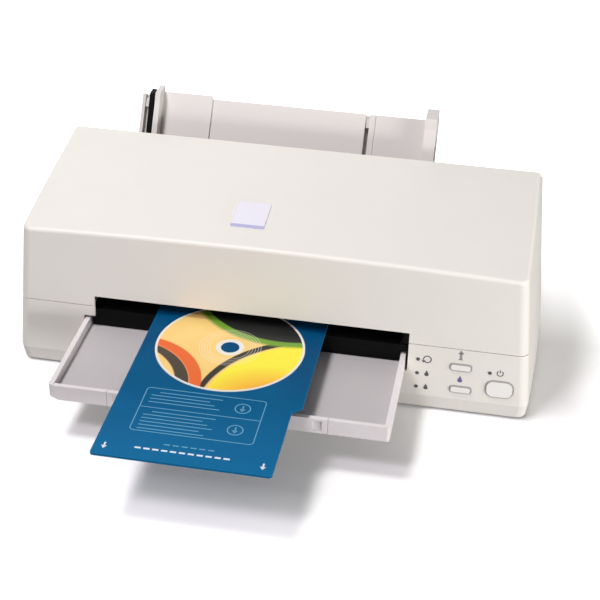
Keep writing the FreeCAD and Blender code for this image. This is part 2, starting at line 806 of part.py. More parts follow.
def eject_places():
    """Middles of the eject tyres."""
    margin = eject_tyre_width
    return spread(eject_tyre_count, roller_left + margin, roller_right - margin)


def eject_tyres():
    """Rubber tyres pressed on the eject shaft."""
    tyres = []
    half = eject_tyre_width / 2.0
    for x in eject_places():
        ring = rod_x(x - half, x + half, eject_back, roller_z, roller_radius)
        bore = rod_x(x - half - 1.0, x + half + 1.0, eject_back, roller_z, eject_shaft_radius)
        tyres.append(ring.cut(bore))
    return tyres


def star_bar():
    """Bar above the eject tyres, with a slot for each star wheel."""
    low = over_path_z + 2.0
    high = front_beam_z
    mid = eject_back
    half = star_bar_depth / 2.0
    bar = box(chassis_left_x + run_gap, chassis_right_x - run_gap, mid - half, mid + half, high - 4.0, high)
    pieces = [bar]
    for x in eject_places():
        pieces.append(box(x - 4.0, x + 4.0, mid - half + 0.6, mid + half - 0.6, low, high - 3.5))
    bar = fuse(pieces)
    for x in eject_places():
        bar = bar.cut(box(x - 1.4, x + 1.4, mid - half - 1.0, mid + half + 1.0, low - 2.0, high - 1.0))
        bar = bar.cut(rod_x(x - 5.0, x + 5.0, mid, over_path_z + star_radius, 0.8 + pin_gap))
    return bar


def star_wheels():
    """Thin toothed wheels that hold the sheet on the eject tyres, each on its own pin."""
    wheels = []
    for x in eject_places():
        z = over_path_z + star_radius
        points = []
        teeth = 12
        for i in range(2 * teeth):
            angle = math.pi * i / teeth
            radius = star_radius if i % 2 == 0 else star_radius - 1.3
            points.append(Vector(x - star_width / 2.0, back(eject_back) + radius * math.sin(angle),
                                 z + radius * math.cos(angle)))
        face = Part.Face(Part.makePolygon(points + [points[0]]))
        wheel = face.extrude(Vector(star_width, 0, 0))
        wheels.append(fuse([wheel, rod_x(x - 3.2, x + 3.2, eject_back, z, 0.8)]))
    return wheels


def pinch_places():
    """Middles of the pinch rollers."""
    return spread(pinch_count, roller_left + pinch_width, roller_right - pinch_width)


def pinch_rollers():
    """Rollers that press the sheet on the feed roller, each with its axle."""
    z = over_path_z + pinch_radius
    rollers = []
    for x in pinch_places():
        half = pinch_width / 2.0
        body = rod_x(x - half, x + half, feed_back, z, pinch_radius)
        axle = rod_x(x - half - 4.0, x + half + 4.0, feed_back, z, pinch_axle_radius)
        rollers.append(fuse([body, axle]))
    return rollers


def pinch_arms():
    """Arms that reach from the rear beam down to the pinch rollers' axles."""
    z = over_path_z + pinch_radius
    web_d = feed_back + pinch_radius + 1.2
    outline = [(feed_back - 3.2, z - 2.6), (feed_back + 2.0, z - 3.0), (beam_back, z + 4.0),
               (beam_back, z + 12.0), (feed_back + 3.0, z + 3.4), (feed_back - 3.2, z + 2.6)]
    web = [(web_d, z + 1.6), (web_d + 2.0, z + 1.6), (beam_back - 1.0, z + 8.2), (beam_back - 1.0, z + 10.2)]
    reach = pinch_width / 2.0 + 3.2
    arms = []
    for x in pinch_places():
        pieces = [box(x - reach, x + reach, beam_back - 2.5, beam_back, z + 4.0, z + 11.0)]
        pieces.append(side_prism(x - reach, x + reach, web))
        for side in (-1, 1):
            x0, x1 = sorted((x + side * (reach - 2.6), x + side * reach))
            pieces.append(side_prism(x0, x1, outline))
        bore = rod_x(x - reach - 1.0, x + reach + 1.0, feed_back, z, pinch_axle_radius + pin_gap)
        arms.append(fuse(pieces).cut(bore))
    return arms


def platen():
    """Ribbed bed under the print head."""
    top = carrier_bottom_z - platen_top_gap
    bed = box(roller_left, roller_right, platen_back, platen_back + platen_depth,
              top - platen_rib_height - platen_height, top - platen_rib_height)
    pieces = [bed]
    half = platen_rib_width / 2.0
    for x in spread(platen_rib_count, roller_left + 4.0, roller_right - 4.0):
        pieces.append(box(x - half, x + half, platen_back + 1.0, platen_back + platen_depth - 1.0,
                          top - platen_rib_height - 0.5, top))
    tab_z = top - platen_rib_height - platen_height
    pieces.append(box(chassis_left_x, roller_left + 1.0, platen_back + 3.0, platen_back + platen_depth - 3.0,
                      tab_z, tab_z + 2.0))
    return fuse(pieces)


# ================================================================ chassis
def chassis_plate(x0, cut_idler):
    """Upright side plate with bores for the rollers and the guide rod, and a foot flange."""
    x1 = x0 + chassis_thick
    outline = [(chassis_front, chassis_bottom_z), (chassis_back, chassis_bottom_z), (chassis_back, 60.0),
               (126.0, 90.0), (126.0, chassis_top_z), (82.0, chassis_top_z), (62.0, 100.0),
               (chassis_front, 84.0)]
    plate = side_prism(x0, x1, outline)
    bores = [(feed_back, roller_z, neck_radius), (eject_back, roller_z, eject_shaft_radius),
             (rod_back, rod_z, rod_radius)]
    for d, z, radius in bores:
        gap = 0.0 if radius == rod_radius else pin_gap
        plate = plate.cut(rod_x(x0 - 1.0, x1 + 1.0, d, z, radius + gap))
    if cut_idler:
        d, z = pinion_place()
        plate = plate.cut(rod_x(x0 - 1.0, x1 + 1.0, d, z, motor_shaft_radius + 2.0))
    plate = plate.cut(box(x0 - 1.0, x1 + 1.0, 112.0, 140.0, 18.0, 40.0))
    return plate


def chassis_left():
    """Left side plate; its stub carries the idler gear."""
    x0 = chassis_left_x - chassis_thick
    plate = chassis_plate(x0, True)
    d, z = idler_place()
    stub = rod_x(gear_left_x - 0.5, x0 + 0.5, d, z, neck_radius - 1.0)
    collar = rod_x(x0 - gear_gap + run_gap, x0 + 0.5, d, z, neck_radius + 0.5)
    foot = box(x0, x0 + 12.0, chassis_front + 10.0, chassis_back - 10.0, chassis_bottom_z,
               chassis_bottom_z + 1.0)
    return fuse([plate, stub, collar, foot])


def chassis_right():
    """Right side plate."""
    plate = chassis_plate(chassis_right_x, False)
    foot = box(chassis_right_x - 10.0, chassis_right_x + chassis_thick, chassis_front + 10.0,
               chassis_back - 10.0, chassis_bottom_z, chassis_bottom_z + 1.0)
    return fuse([plate, foot])


def rear_beam():
    """Sheet-metal beam between the side plates, with a flange at its top."""
    web = box(chassis_left_x, chassis_right_x, beam_back, beam_back + beam_thick, beam_bottom_z, beam_top_z)
    flange = box(chassis_left_x, chassis_right_x, beam_back, beam_back + beam_flange,
                 beam_top_z - beam_thick, beam_top_z)
    beam = fuse([web, flange])
    for x in spread(6, chassis_left_x + 50.0, chassis_right_x - 70.0):
        beam = beam.cut(box(x - 14.0, x + 14.0, beam_back - 1.0, beam_back + beam_thick + 1.0,
                            beam_bottom_z + 20.0, beam_bottom_z + 26.0))
    rear = beam_back + beam_thick
    for x in (pulley_left_x, pulley_right_x):
        beam = beam.cut(rod_y(x, beam_back - 1.0, rear + 1.0, belt_z, motor_shaft_radius + 1.0))
    flange_end = beam_back + beam_flange + 1.0
    return beam.cut(rod_y(pulley_right_x, rear, flange_end, belt_z, motor_radius + run_gap))


def front_beam():
    """Flat beam over the star wheels, on which the carriage's front foot slides."""
    d0 = front_beam_front
    beam = box(chassis_left_x, chassis_right_x, d0, d0 + front_beam_depth, front_beam_z,
               front_beam_z + front_beam_thick)
    return beam


def guide_rod():
    """Polished rod that carries the carriage."""
    return rod_x(chassis_left_x - chassis_thick - 0.8, chassis_right_x + chassis_thick + 0.8, rod_back, rod_z,
                 rod_radius)


# ================================================================ carriage
def carriage_edges():
    """Left and right outer face of the carriage at home."""
    return carriage_x - carriage_width / 2.0, carriage_x + carriage_width / 2.0


def cartridge_edges():
    """X ranges of the black and the colour cartridge."""
    left, right = carriage_edges()
    black0 = left + carriage_wall + cartridge_gap
    black1 = black0 + black_width
    colour1 = right - carriage_wall - cartridge_gap
    colour0 = colour1 - colour_width
    return (black0, black1), (colour0, colour1)


def head_block(inset, z0, z1):
    """Block with the head's plan at home, inset on all four sides."""
    half = head_width / 2.0 - inset
    d0 = head_front + inset
    d1 = head_front + head_depth - inset
    return box(carriage_x - half, carriage_x + half, d0, d1, z0, z1)


def carriage():
    """Box for two cartridges, the head below, sleeve and belt clamp behind, and a foot in front."""
    left, right = carriage_edges()
    rear = carriage_front + carriage_depth
    shell = box(left, right, carriage_front, rear, carriage_floor_z, carriage_top_z)
    bay_front = carriage_front + carriage_wall
    bay_low = carriage_floor_z + carriage_wall
    for x0, x1 in cartridge_edges():
        shell = shell.cut(box(x0 - cartridge_gap, x1 + cartridge_gap, bay_front, rear - carriage_wall,
                              bay_low, carriage_top_z + 1.0))
        shell = shell.cut(box(x0 + 3.0, x1 - 3.0, carriage_front - 1.0, bay_front + 1.0,
                              carriage_floor_z + window_rise, carriage_top_z + 1.0))
    head = head_block(0.0, path_top_z + head_gap, carriage_floor_z + 0.5)
    sleeve = rod_x(left, right, rod_back, rod_z, sleeve_radius)
    saddle = box(left, right, rear - 1.0, rod_back, rod_z - sleeve_radius, rod_z + 2.0)
    foot_low = front_beam_z + front_beam_thick + run_gap
    foot = box(left + 10.0, right - 10.0, front_beam_front + 4.0, carriage_front, foot_low, foot_low + 2.5)
    run_z = belt_z - pulley_radius - belt_drop - belt_thick / 2.0
    arm_x0 = carriage_x - 9.0
    arm_x1 = carriage_x + 9.0
    reach = belt_back + belt_width + run_gap + 1.0
    arm = box(arm_x0, arm_x1, rod_back, reach, run_z - belt_thick / 2.0 - run_gap - 2.0,
              run_z + belt_thick / 2.0 + run_gap + 2.0)
    groove = box(arm_x0 - 1.0, arm_x1 + 1.0, belt_back - run_gap, belt_back + belt_width + run_gap,
                 run_z - belt_thick / 2.0 - run_gap, run_z + belt_thick / 2.0 + run_gap)
    body = fuse([shell, head, saddle, sleeve, arm])
    body = body.cut(groove)
    body = body.cut(rod_x(left - 1.0, right + 1.0, rod_back, rod_z, rod_radius + pin_gap))
    pivot_d, pivot_z = latch_pivot()
    ears = []
    for x0, x1 in cartridge_edges():
        for ear0 in (x0 - 1.4, x1 - 0.6):
            ear = box(ear0, ear0 + 2.0, pivot_d - 3.0, rear, carriage_top_z - 1.0, pivot_z + 3.0)
            ears.append(ear)
    body = fuse([body] + ears)
    body = body.cut(rod_x(left - 1.0, right + 1.0, pivot_d, pivot_z, 1.5 + pin_gap))
    return [body, foot]


def latch_pivot():
    """Distance and height of the cartridge latches' axis."""
    return carriage_front + carriage_depth - 4.0, cartridge_top_z + latch_lift + latch_thick / 2.0


def cartridge(edges):
    """Ink tank with a stepped top and a grip rib."""
    x0, x1 = edges
    d0 = carriage_front + carriage_wall + cartridge_gap
    d1 = carriage_front + carriage_depth - carriage_wall - cartridge_gap
    low = carriage_floor_z + carriage_wall
    tank = box(x0, x1, d0, d1 - 7.5, low, cartridge_top_z)
    tank = tank.fuse(box(x0, x1, d1 - 7.6, d1, low, carriage_top_z - 2.0))
    rib = box(x0 + 5.0, x1 - 5.0, d0 + 3.0, d0 + 5.0, cartridge_top_z - 0.5, cartridge_top_z + 1.2)
    return fuse([tank, rib])


def latch(edges):
    """Lid over one cartridge, on a pin between two ears."""
    x0, x1 = edges
    pivot_d, pivot_z = latch_pivot()
    low = pivot_z - latch_thick / 2.0
    side = 1.0
    plate = box(x0 + side, x1 - side, carriage_front + 1.0, pivot_d, low, low + latch_thick)
    tip = box(x0 + side + 4.0, x1 - side - 4.0, carriage_front - 2.0, carriage_front + 1.5,
              low, low + latch_thick)
    knuckle = rod_x(x0 + side, x1 - side, pivot_d, pivot_z, 2.2)
    pin = rod_x(x0 - 1.4, x1 + 1.4, pivot_d, pivot_z, 1.5)
    lid = fuse([plate, tip, knuckle, pin])
    window = box(x0 + 7.0, x1 - 7.0, carriage_front + 8.0, pivot_d - 9.0, low - 1.0, low + latch_thick + 1.0)
    return lid.cut(window)


def belt():
    """Carriage belt as one closed band round the two pulleys."""
    inner = pulley_radius + belt_drop
    outer = inner + belt_thick

    d0 = belt_back
    d1 = belt_back + belt_width

    def band(radius):
        ends = [rod_y(x, d0, d1, belt_z, radius) for x in (pulley_left_x, pulley_right_x)]
        return fuse(ends + [box(pulley_left_x, pulley_right_x, d0, d1, belt_z - radius, belt_z + radius)])

    return band(outer).cut(band(inner))


def pulley(x, reach):
    """Belt pulley with a flange in front, on a shaft that reaches back through the rear beam."""
    d0 = belt_back - run_gap
    tread = rod_y(x, d0, belt_back + belt_width + run_gap, belt_z, pulley_radius)
    flange = rod_y(x, d0 - pulley_flange, d0, belt_z, pulley_radius + 0.2)
    shaft = rod_y(x, belt_back, beam_back + reach, belt_z, motor_shaft_radius)
    return fuse([tread, flange, shaft])


def feed_motor():
    """Motor behind the left side plate."""
    d, z = pinion_place()
    can = rod_x(chassis_left_x, chassis_left_x + 27.0, d, z, 12.0)
    return can.cut(rod_x(chassis_left_x - 1.0, chassis_left_x + 12.0, d, z, motor_shaft_radius + pin_gap))


def pinion_shaft():
    """Shaft of the feed motor, which carries the pinion."""
    d, z = pinion_place()
    return rod_x(gear_left_x, chassis_left_x + 11.0, d, z, motor_shaft_radius)


def carriage_motor():
    """Motor on the back of the rear beam, with a bore for its shaft."""
    d0 = beam_back + beam_thick
    can = rod_y(pulley_right_x, d0, d0 + motor_length, belt_z, motor_radius)
    return can.cut(rod_y(pulley_right_x, d0 - 1.0, d0 + 12.0, belt_z, motor_shaft_radius + pin_gap))


def idler_bracket():
    """Block on the back of the rear beam that carries the idler pulley's shaft."""
    d0 = beam_back + beam_thick
    block = box(pulley_left_x - 9.0, pulley_left_x + 9.0, d0, d0 + 9.0, belt_z - 9.0, belt_z + 9.0)
    return block.cut(rod_y(pulley_left_x, d0 - 1.0, d0 + 12.0, belt_z, motor_shaft_radius + pin_gap))


def encoder_strip():
    """Thin graduated strip in front of the rear beam, held by a hook at each end."""
    d0 = beam_back - 2.0
    strip = box(chassis_left_x, chassis_right_x, d0, d0 + strip_thick, strip_z - strip_height / 2.0,
                strip_z + strip_height / 2.0)
    return strip


def cap_station():
    """Parking place for the head, right of the paper path."""
    base = box(roller_right + station_gap, chassis_right_x - station_gap - 1.0, station_front,
               station_front + station_depth, inner_floor_z, station_top_z)
    return fuse([base, head_block(-1.0, station_top_z - 0.5, station_top_z + 4.0)])


def cap_pad():
    """Rubber cap that seals the head at home."""
    low = station_top_z + 4.0
    high = path_top_z + head_gap - run_gap
    return head_block(cap_wall, low, high).cut(head_block(2.0 * cap_wall, low + 1.5, high + 1.0))


# ================================================================ sheet feeder
def along_hopper(up, out):
    """(distance, height) of a point up the hopper from its foot and out of its front surface."""
    cos = math.cos(hopper_angle)
    sin = math.sin(hopper_angle)
    return feeder_foot_back + up * cos - out * sin, feeder_foot_z + up * sin + out * cos


def hopper_slab(x0, x1, up0, up1, out0, out1):
    """Block in the hopper's own leaning frame."""
    corners = ((up0, out0), (up1, out0), (up1, out1), (up0, out1))
    return side_prism(x0, x1, [along_hopper(up, out) for up, out in corners])


hopper_pivot_up = hopper_length - 9.0
hopper_pivot_out = -hopper_thick - 2.5


def hopper_plate():
    """Leaning plate that swings about its upper end to press the sheets on the pickup tyres."""
    plate = hopper_slab(hopper_left, hopper_right, 0.0, hopper_length - 1.0, -hopper_thick, 0.0)
    d, z = along_hopper(hopper_pivot_up, hopper_pivot_out)
    pieces = [plate]
    for x0 in (hopper_left, hopper_right - 8.0):
        lug = hopper_slab(x0, x0 + 8.0, hopper_pivot_up - 3.0, hopper_pivot_up + 3.0,
                          hopper_pivot_out, -1.0)
        pieces += [lug, rod_x(x0, x0 + 8.0, d, z, 3.0)]
    pins = rod_x(hopper_left - 3.0, hopper_left + 2.0, d, z, hopper_pin_radius)
    pins_right = rod_x(hopper_right - 2.0, hopper_right + 3.0, d, z, hopper_pin_radius)
    plate = fuse(pieces + [pins, pins_right])
    pad = hopper_slab(-4.0 + extension_centre_x, 4.0 + extension_centre_x, 4.0, 30.0, -0.8, 1.0)
    return plate.cut(pad)


def feeder_frame():
    """Fixed frame of the sheet feeder: back plate, right wall and panel, left cheek, legs to the floor."""
    back_out = -hopper_thick - hopper_back_gap
    rear_out = back_out - frame_thick
    low_up = 4.0
    high_up = hopper_length - 1.0
    plate = hopper_slab(feeder_left, feeder_right, low_up, high_up, rear_out, back_out)
    wall_x0 = feeder_right - feeder_wall
    front_low = [(chute_front(), over_path_z + 0.6), (chute_front(), over_path_z + 9.0),
                 along_hopper(-4.0, feeder_wall_reach)]
    leg_back = leg_front + leg_depth
    rear_low = [along_hopper(high_up, rear_out), (leg_back, leg_top_z), (leg_back, inner_floor_z),
                (leg_front, inner_floor_z), (leg_front, over_path_z + 0.6)]
    top_front_d = feeder_top_back - feeder_wall_reach + 3.0
    top = [(top_front_d - 4.0, feeder_wall_top_z - 8.0), (top_front_d, feeder_wall_top_z),
           (feeder_top_back + 6.0, feeder_wall_top_z)]
    right_wall = side_prism(wall_x0, feeder_right, front_low + top + rear_low)
    cheek_up = hopper_length * 0.42
    cheek_top = [along_hopper(cheek_up, feeder_wall_reach), along_hopper(cheek_up, -hopper_thick - 1.0),
                 along_hopper(high_up, -hopper_thick - 1.0)]
    cheek = side_prism(feeder_left, feeder_left + cheek_thick, front_low + cheek_top + rear_low)
    panel_x0 = hopper_right + 3.6
    panel = hopper_slab(panel_x0, wall_x0 + 1.0, low_up, high_up, back_out - 0.5, 0.0)
    groove = hopper_slab(panel_x0 + 5.0, panel_x0 + 6.0, low_up - 1.0, high_up + 1.0, -0.8, 1.0)
    hollow = hopper_slab(panel_x0 + 3.0, wall_x0 - 3.0, low_up - 1.0, high_up - 3.0, back_out - 0.1, -2.4)
    pieces = [plate, right_wall, cheek, panel.cut(groove).cut(hollow)]
    d, z = along_hopper(hopper_pivot_up, hopper_pivot_out)
    for x0, x1 in ((hopper_left - 3.4, hopper_left - 0.6), (hopper_right + 0.6, hopper_right + 3.8)):
        pieces.append(hopper_slab(x0, x1, hopper_pivot_up - 4.0, hopper_pivot_up + 4.0, back_out - 0.5,
                                  hopper_pivot_out + 2.5))
    shaft_d, shaft_z = pickup_place()
    boss_radius = pickup_shaft_radius + 4.0
    pieces.append(rod_x(feeder_left, feeder_left + cheek_thick, shaft_d, shaft_z, boss_radius))
    pieces.append(rod_x(wall_x0, wall_x0 + 6.0, shaft_d, shaft_z, boss_radius))
    frame = fuse(pieces)
    bore = pickup_shaft_radius + pin_gap
    frame = frame.cut(rod_x(feeder_left - 1.0, feeder_left + cheek_thick + 1.0, shaft_d, shaft_z, bore))
    frame = frame.cut(rod_x(wall_x0 - 1.0, wall_x0 + 6.0, shaft_d, shaft_z, bore))
    return frame.cut(rod_x(hopper_left - 4.0, hopper_right + 4.4, d, z, hopper_pin_radius + pin_gap))


def pickup_place():
    """Distance and height of the pickup shaft's axis, square to the hopper."""
    return along_hopper(pickup_along, pickup_clear + pickup_radius)


def pickup_shaft():
    """Shaft between the feeder's two cheeks."""
    d, z = pickup_place()
    return rod_x(feeder_left, feeder_right - feeder_wall + 5.5, d, z, pickup_shaft_radius)


def pickup_tyres():
    """Two rubber tyres on hubs that grip the shaft."""
    d, z = pickup_place()
    tyres = []
    for x in (extension_centre_x - 62.0, extension_centre_x + 62.0):
        half = tyre_width / 2.0
        tyre = rod_x(x - half, x + half, d, z, pickup_radius)
        tyres.append(tyre.cut(rod_x(x - half - 1.0, x + half + 1.0, d, z, pickup_shaft_radius)))
    return tyres


def edge_guide():
    """Wall that stands out of the hopper, with a plate that lies on the hopper and a hook over its top."""
    x0 = guide_left
    x1 = x0 + guide_wall_thick
    lift = 0.4
    up0 = 42.0
    plate = hopper_slab(x0, x1 + guide_plate_width, up0, hopper_length + 1.6, lift, lift + guide_plate_thick)
    top_d = feeder_top_back - feeder_wall_reach + 3.0
    outline = [along_hopper(up0, lift), along_hopper(hopper_length + 1.6, lift),
               (feeder_top_back + 2.0, feeder_wall_top_z), (top_d, feeder_wall_top_z),
               (top_d - 4.0, feeder_wall_top_z - 8.0), along_hopper(up0, feeder_wall_reach - 4.0)]
    wall_shape = side_prism(x0, x1, outline)
    guide = fuse([plate, wall_shape])
    for d, z in lever_pins():
        guide = guide.cut(rod_x(x0 - 1.0, x1 - 1.0, d, z, lever_pin_radius + pin_gap))
    return guide


def edge_lever():
    """Dark release lever beside the edge guide, on two pins that run in the guide's wall."""
    x1 = guide_left - lever_gap
    x0 = x1 - lever_thick
    top_d = feeder_top_back - feeder_wall_reach + 5.0
    top_z = feeder_wall_top_z - 2.0
    outline = [along_hopper(52.0, 4.0), along_hopper(hopper_length - 2.0, 2.5),
               (feeder_top_back - 3.0, top_z), (top_d, top_z), along_hopper(52.0, 11.0)]
    body = side_prism(x0, x1, outline)
    pins = [rod_x(x1 - 0.5, guide_left + 2.0, d, z, lever_pin_radius) for d, z in lever_pins()]
    return fuse([body] + pins)


def lever_pins():
    """Places of the lever's two pins."""
    return [along_hopper(60.0, 7.0), along_hopper(88.0, 7.0)]


def chute_front():
    """The chute starts just behind the rear beam."""
    return beam_back + beam_thick + 2.0


def paper_chute():
    """Sloping sheet guide from the hopper's foot to the pinch rollers, between the feeder's side walls."""
    low = over_path_z + 1.2
    d_top, z_top = along_hopper(-3.0, -1.5)
    thick = 1.6
    return side_prism(feeder_left + cheek_thick, feeder_right - feeder_wall,
                      [(chute_front(), low), (chute_front(), low + thick), (d_top, z_top),
                       (d_top + 1.0, z_top - thick)])


# ================================================================ front panel
def button_hole(x, z, width, height):
    """Hole in the front wall for one button."""
    half_w = width / 2.0 + button_gap
    half_h = height / 2.0 + button_gap
    radius = half_h * 0.8
    return rounded_block(x - half_w, x + half_w, -1.0, wall + 1.0, z - half_h, z + half_h, radius)


def button(place, width, height):
    """Button cap with a flange behind the wall that keeps it in."""
    x, z = place
    half_w = width / 2.0
    half_h = height / 2.0
    rear = wall + run_gap
    cap = rounded_block(x - half_w, x + half_w, -button_stand, rear + 0.5, z - half_h, z + half_h,
                        half_h * 0.8)
    front_edges = [e for e in cap.Edges if e.BoundBox.YMax < back(-button_stand + 0.01)]
    cap = cap.makeFillet(0.5, front_edges)
    flange = box(x - half_w - button_flange, x + half_w + button_flange, rear, rear + button_flange_thick,
                 z - half_h - button_flange, z + half_h + button_flange)
    stem = rod_y(x, rear, panel_board_back - 0.4 - button_travel, z, 1.6)
    return fuse([cap, flange, stem])


def lamp(place):
    """Clear lens of a lamp in the front wall, with a rim behind the wall."""
    x, z = place
    lens = rod_y(x, -lamp_stand, wall + 1.5, z, lamp_radius)
    rim = rod_y(x, wall, wall + 1.5, z, lamp_radius + 1.0)
    return fuse([lens, rim])


def panel_board():
    """Circuit board behind the front panel, on two posts from the wall."""
    rear = panel_board_back + board_thick
    return box(board_left_x, board_right_x, panel_board_back, rear, board_low_z, board_high_z)


# ================================================================ electrics and trim
def main_board():
    """Main circuit board with its larger parts."""
    low = inner_floor_z + board_stand
    x0 = main_board_left
    x1 = x0 + main_board_width
    d0 = main_board_front
    d1 = d0 + main_board_depth
    top = low + board_thick - 0.1
    board = box(x0, x1, d0, d1, low, low + board_thick)
    parts = []
    for x_share, d_share, width_share, depth_share, height in board_parts:
        part_x = x0 + x_share * main_board_width
        part_d = d0 + d_share * main_board_depth
        parts.append(box(part_x, part_x + width_share * main_board_width,
                         part_d, part_d + depth_share * main_board_depth, top, top + height))
    posts = [rod_z_up(x, d, inner_floor_z, low + 0.5, 3.0)
             for x in (x0 + board_post_inset, x1 - board_post_inset)
             for d in (d0 + board_post_inset, d1 - board_post_inset)]
    return fuse([board] + parts + posts)


def power_supply():
    """Mains power supply in a box of its own."""
    return box(supply_left, supply_left + supply_width, supply_front, supply_front + supply_depth,
               inner_floor_z, inner_floor_z + supply_height)


def waste_pad():
    """Felt that takes up waste ink."""
    top = inner_floor_z + pad_height
    return box(pad_left, pad_right, pad_front, pad_front + pad_depth, inner_floor_z, top)


def inlet_block(gap):
    """Outer block of the mains inlet, grown by gap on its four sides."""
    half_x = inlet_width / 2.0 + gap
    half_z = inlet_height / 2.0 + gap
    return box(inlet_x - half_x, inlet_x + half_x, body_depth - 18.0, body_depth,
               inlet_z - half_z, inlet_z + half_z)


def mains_inlet():
    """Two-pin mains inlet, flush with the back panel."""
    rear = body_depth
    half_x = inlet_mouth_width / 2.0
    half_z = inlet_mouth_height / 2.0
    mouth = rounded_block(inlet_x - half_x, inlet_x + half_x, rear - 13.0, rear + 1.0,
                          inlet_z - half_z, inlet_z + half_z, half_z - 0.1)
    pins = [rod_y(inlet_x + side * 4.3, rear - 14.0, rear - 3.0, inlet_z, 1.2) for side in (-1, 1)]
    return fuse([inlet_block(0.0).cut(mouth)] + pins)


def port_block(gap):
    """Outer block of the data port, grown by gap on its four sides."""
    return box(port_left - gap, port_left + port_width + gap, body_depth - 14.0, body_depth,
               20.0 - gap, 38.0 + gap)


def data_port():
    """Wide data port and a small square one, in one block."""
    block = port_block(0.0)
    rear = body_depth
    wide_left = port_left + 4.0
    square_left = port_left + 49.0
    wide = box(wide_left, wide_left + 40.0, rear - 9.0, rear + 1.0, 24.0, 34.0)
    tongue = box(wide_left + 3.0, wide_left + 37.0, rear - 10.0, rear - 2.0, 27.6, 30.4)
    square = box(square_left, square_left + 9.0, rear - 9.0, rear + 1.0, 25.0, 33.0)
    small_tongue = box(square_left + 2.5, square_left + 6.5, rear - 10.0, rear - 2.0, 27.5, 30.5)
    return fuse([block.cut(wide).cut(square), tongue, small_tongue])


def rubber_feet():
    """Four round feet under the case's corners."""
    return [rod_z_up(x, d, 0.0, foot_height, foot_radius)
            for x in (-foot_x, foot_x) for d in (foot_inset, body_depth - foot_inset)]


def case_screws():
    """Screws that hold the chassis feet to the case's floor."""
    screws = []
    low = chassis_bottom_z + 1.0
    for x in (chassis_left_x + 6.0, chassis_right_x - 5.0):
        for d in (45.0, 125.0):
            head = rod_z_up(x, d, low, low + 2.0, 3.5)
            slot = box(x - 2.5, x + 2.5, d - 0.4, d + 0.4, low + 1.2, low + 3.0)
            screws.append(head.cut(slot))
    return screws


# ================================================================ all nodes
os.makedirs("parts", exist_ok=True)
save("top_cover", top_cover())
save("cover_badge", cover_badge())
save("bottom_case", bottom_case())
save("rear_case", rear_case())
save("slot_apron", slot_apron())
save("output_tray", output_tray())
save("tray_extension", tray_extension())
save("disc_carrier", disc_carrier())
save("disc", disc())
save("feed_roller", feed_roller())
save("feed_gear", roller_gear(feed_back))
save("idler_gear", idler_gear())
save("eject_roller", eject_roller())
save("eject_gear", roller_gear(eject_back))
save("eject_tyres", eject_tyres())
save("motor_pinion", motor_pinion())
save("pinion_shaft", pinion_shaft())
save("feed_motor", feed_motor())
save("star_bar", star_bar())
save("star_wheels", star_wheels())
save("pinch_rollers", pinch_rollers())
save("pinch_arms", pinch_arms())
save("platen", platen())
save("chassis_left", chassis_left())
save("chassis_right", chassis_right())
save("rear_beam", rear_beam())
save("front_beam", front_beam())
save("guide_rod", guide_rod())
save("carriage", carriage())
black_edges, colour_edges = cartridge_edges()
save("black_cartridge", cartridge(black_edges))
save("colour_cartridge", cartridge(colour_edges))
save("black_latch", latch(black_edges))
save("colour_latch", latch(colour_edges))
save("carriage_belt", belt())
save("drive_pulley", pulley(pulley_right_x, beam_thick + 10.0))
save("idler_pulley", pulley(pulley_left_x, beam_thick + 8.0))
save("carriage_motor", carriage_motor())
save("idler_bracket", idler_bracket())
save("encoder_strip", encoder_strip())
save("cap_station", cap_station())
save("cap_pad", cap_pad())
save("feeder_frame", feeder_frame())
save("hopper_plate", hopper_plate())
save("edge_guide", edge_guide())
save("edge_lever", edge_lever())
save("pickup_shaft", pickup_shaft())
save("pickup_tyres", pickup_tyres())
save("paper_chute", paper_chute())
save("load_button", button(load_button, small_button_width, small_button_height))
save("clean_button", button(clean_button, small_button_width, small_button_height))
save("power_button", button(power_button, power_width, power_height))
save("lamps", [lamp(place) for place in status_lamps + [power_lamp]])
save("panel_board", panel_board())
save("main_board", main_board())
save("power_supply", power_supply())
save("mains_inlet", mains_inlet())
save("data_port", data_port())
save("waste_pad", waste_pad())
save("rubber_feet", rubber_feet())
save("case_screws", case_screws())
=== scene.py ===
import json

import bmesh
import bpy
import numpy as np
from mathutils import Matrix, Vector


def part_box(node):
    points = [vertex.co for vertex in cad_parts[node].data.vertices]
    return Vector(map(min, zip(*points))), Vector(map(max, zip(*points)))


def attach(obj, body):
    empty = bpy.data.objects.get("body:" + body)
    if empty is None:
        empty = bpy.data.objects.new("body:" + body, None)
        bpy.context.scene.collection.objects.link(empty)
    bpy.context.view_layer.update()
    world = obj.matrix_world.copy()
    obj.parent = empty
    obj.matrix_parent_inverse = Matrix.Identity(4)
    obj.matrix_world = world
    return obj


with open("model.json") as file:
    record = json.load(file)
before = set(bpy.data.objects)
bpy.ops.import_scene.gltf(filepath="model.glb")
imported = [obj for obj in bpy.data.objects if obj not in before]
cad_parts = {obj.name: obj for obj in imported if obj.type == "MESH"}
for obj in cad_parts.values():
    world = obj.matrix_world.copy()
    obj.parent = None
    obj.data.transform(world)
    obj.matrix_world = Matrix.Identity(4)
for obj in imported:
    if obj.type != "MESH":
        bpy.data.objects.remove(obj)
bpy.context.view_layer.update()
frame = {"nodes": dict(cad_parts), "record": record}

record = frame["record"]
nodes = frame["nodes"]
print("frame loaded:", len(nodes), "nodes")


def corners(node):
    # Lowest and highest corner of a node at rest.
    return [np.array(corner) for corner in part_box(node)]


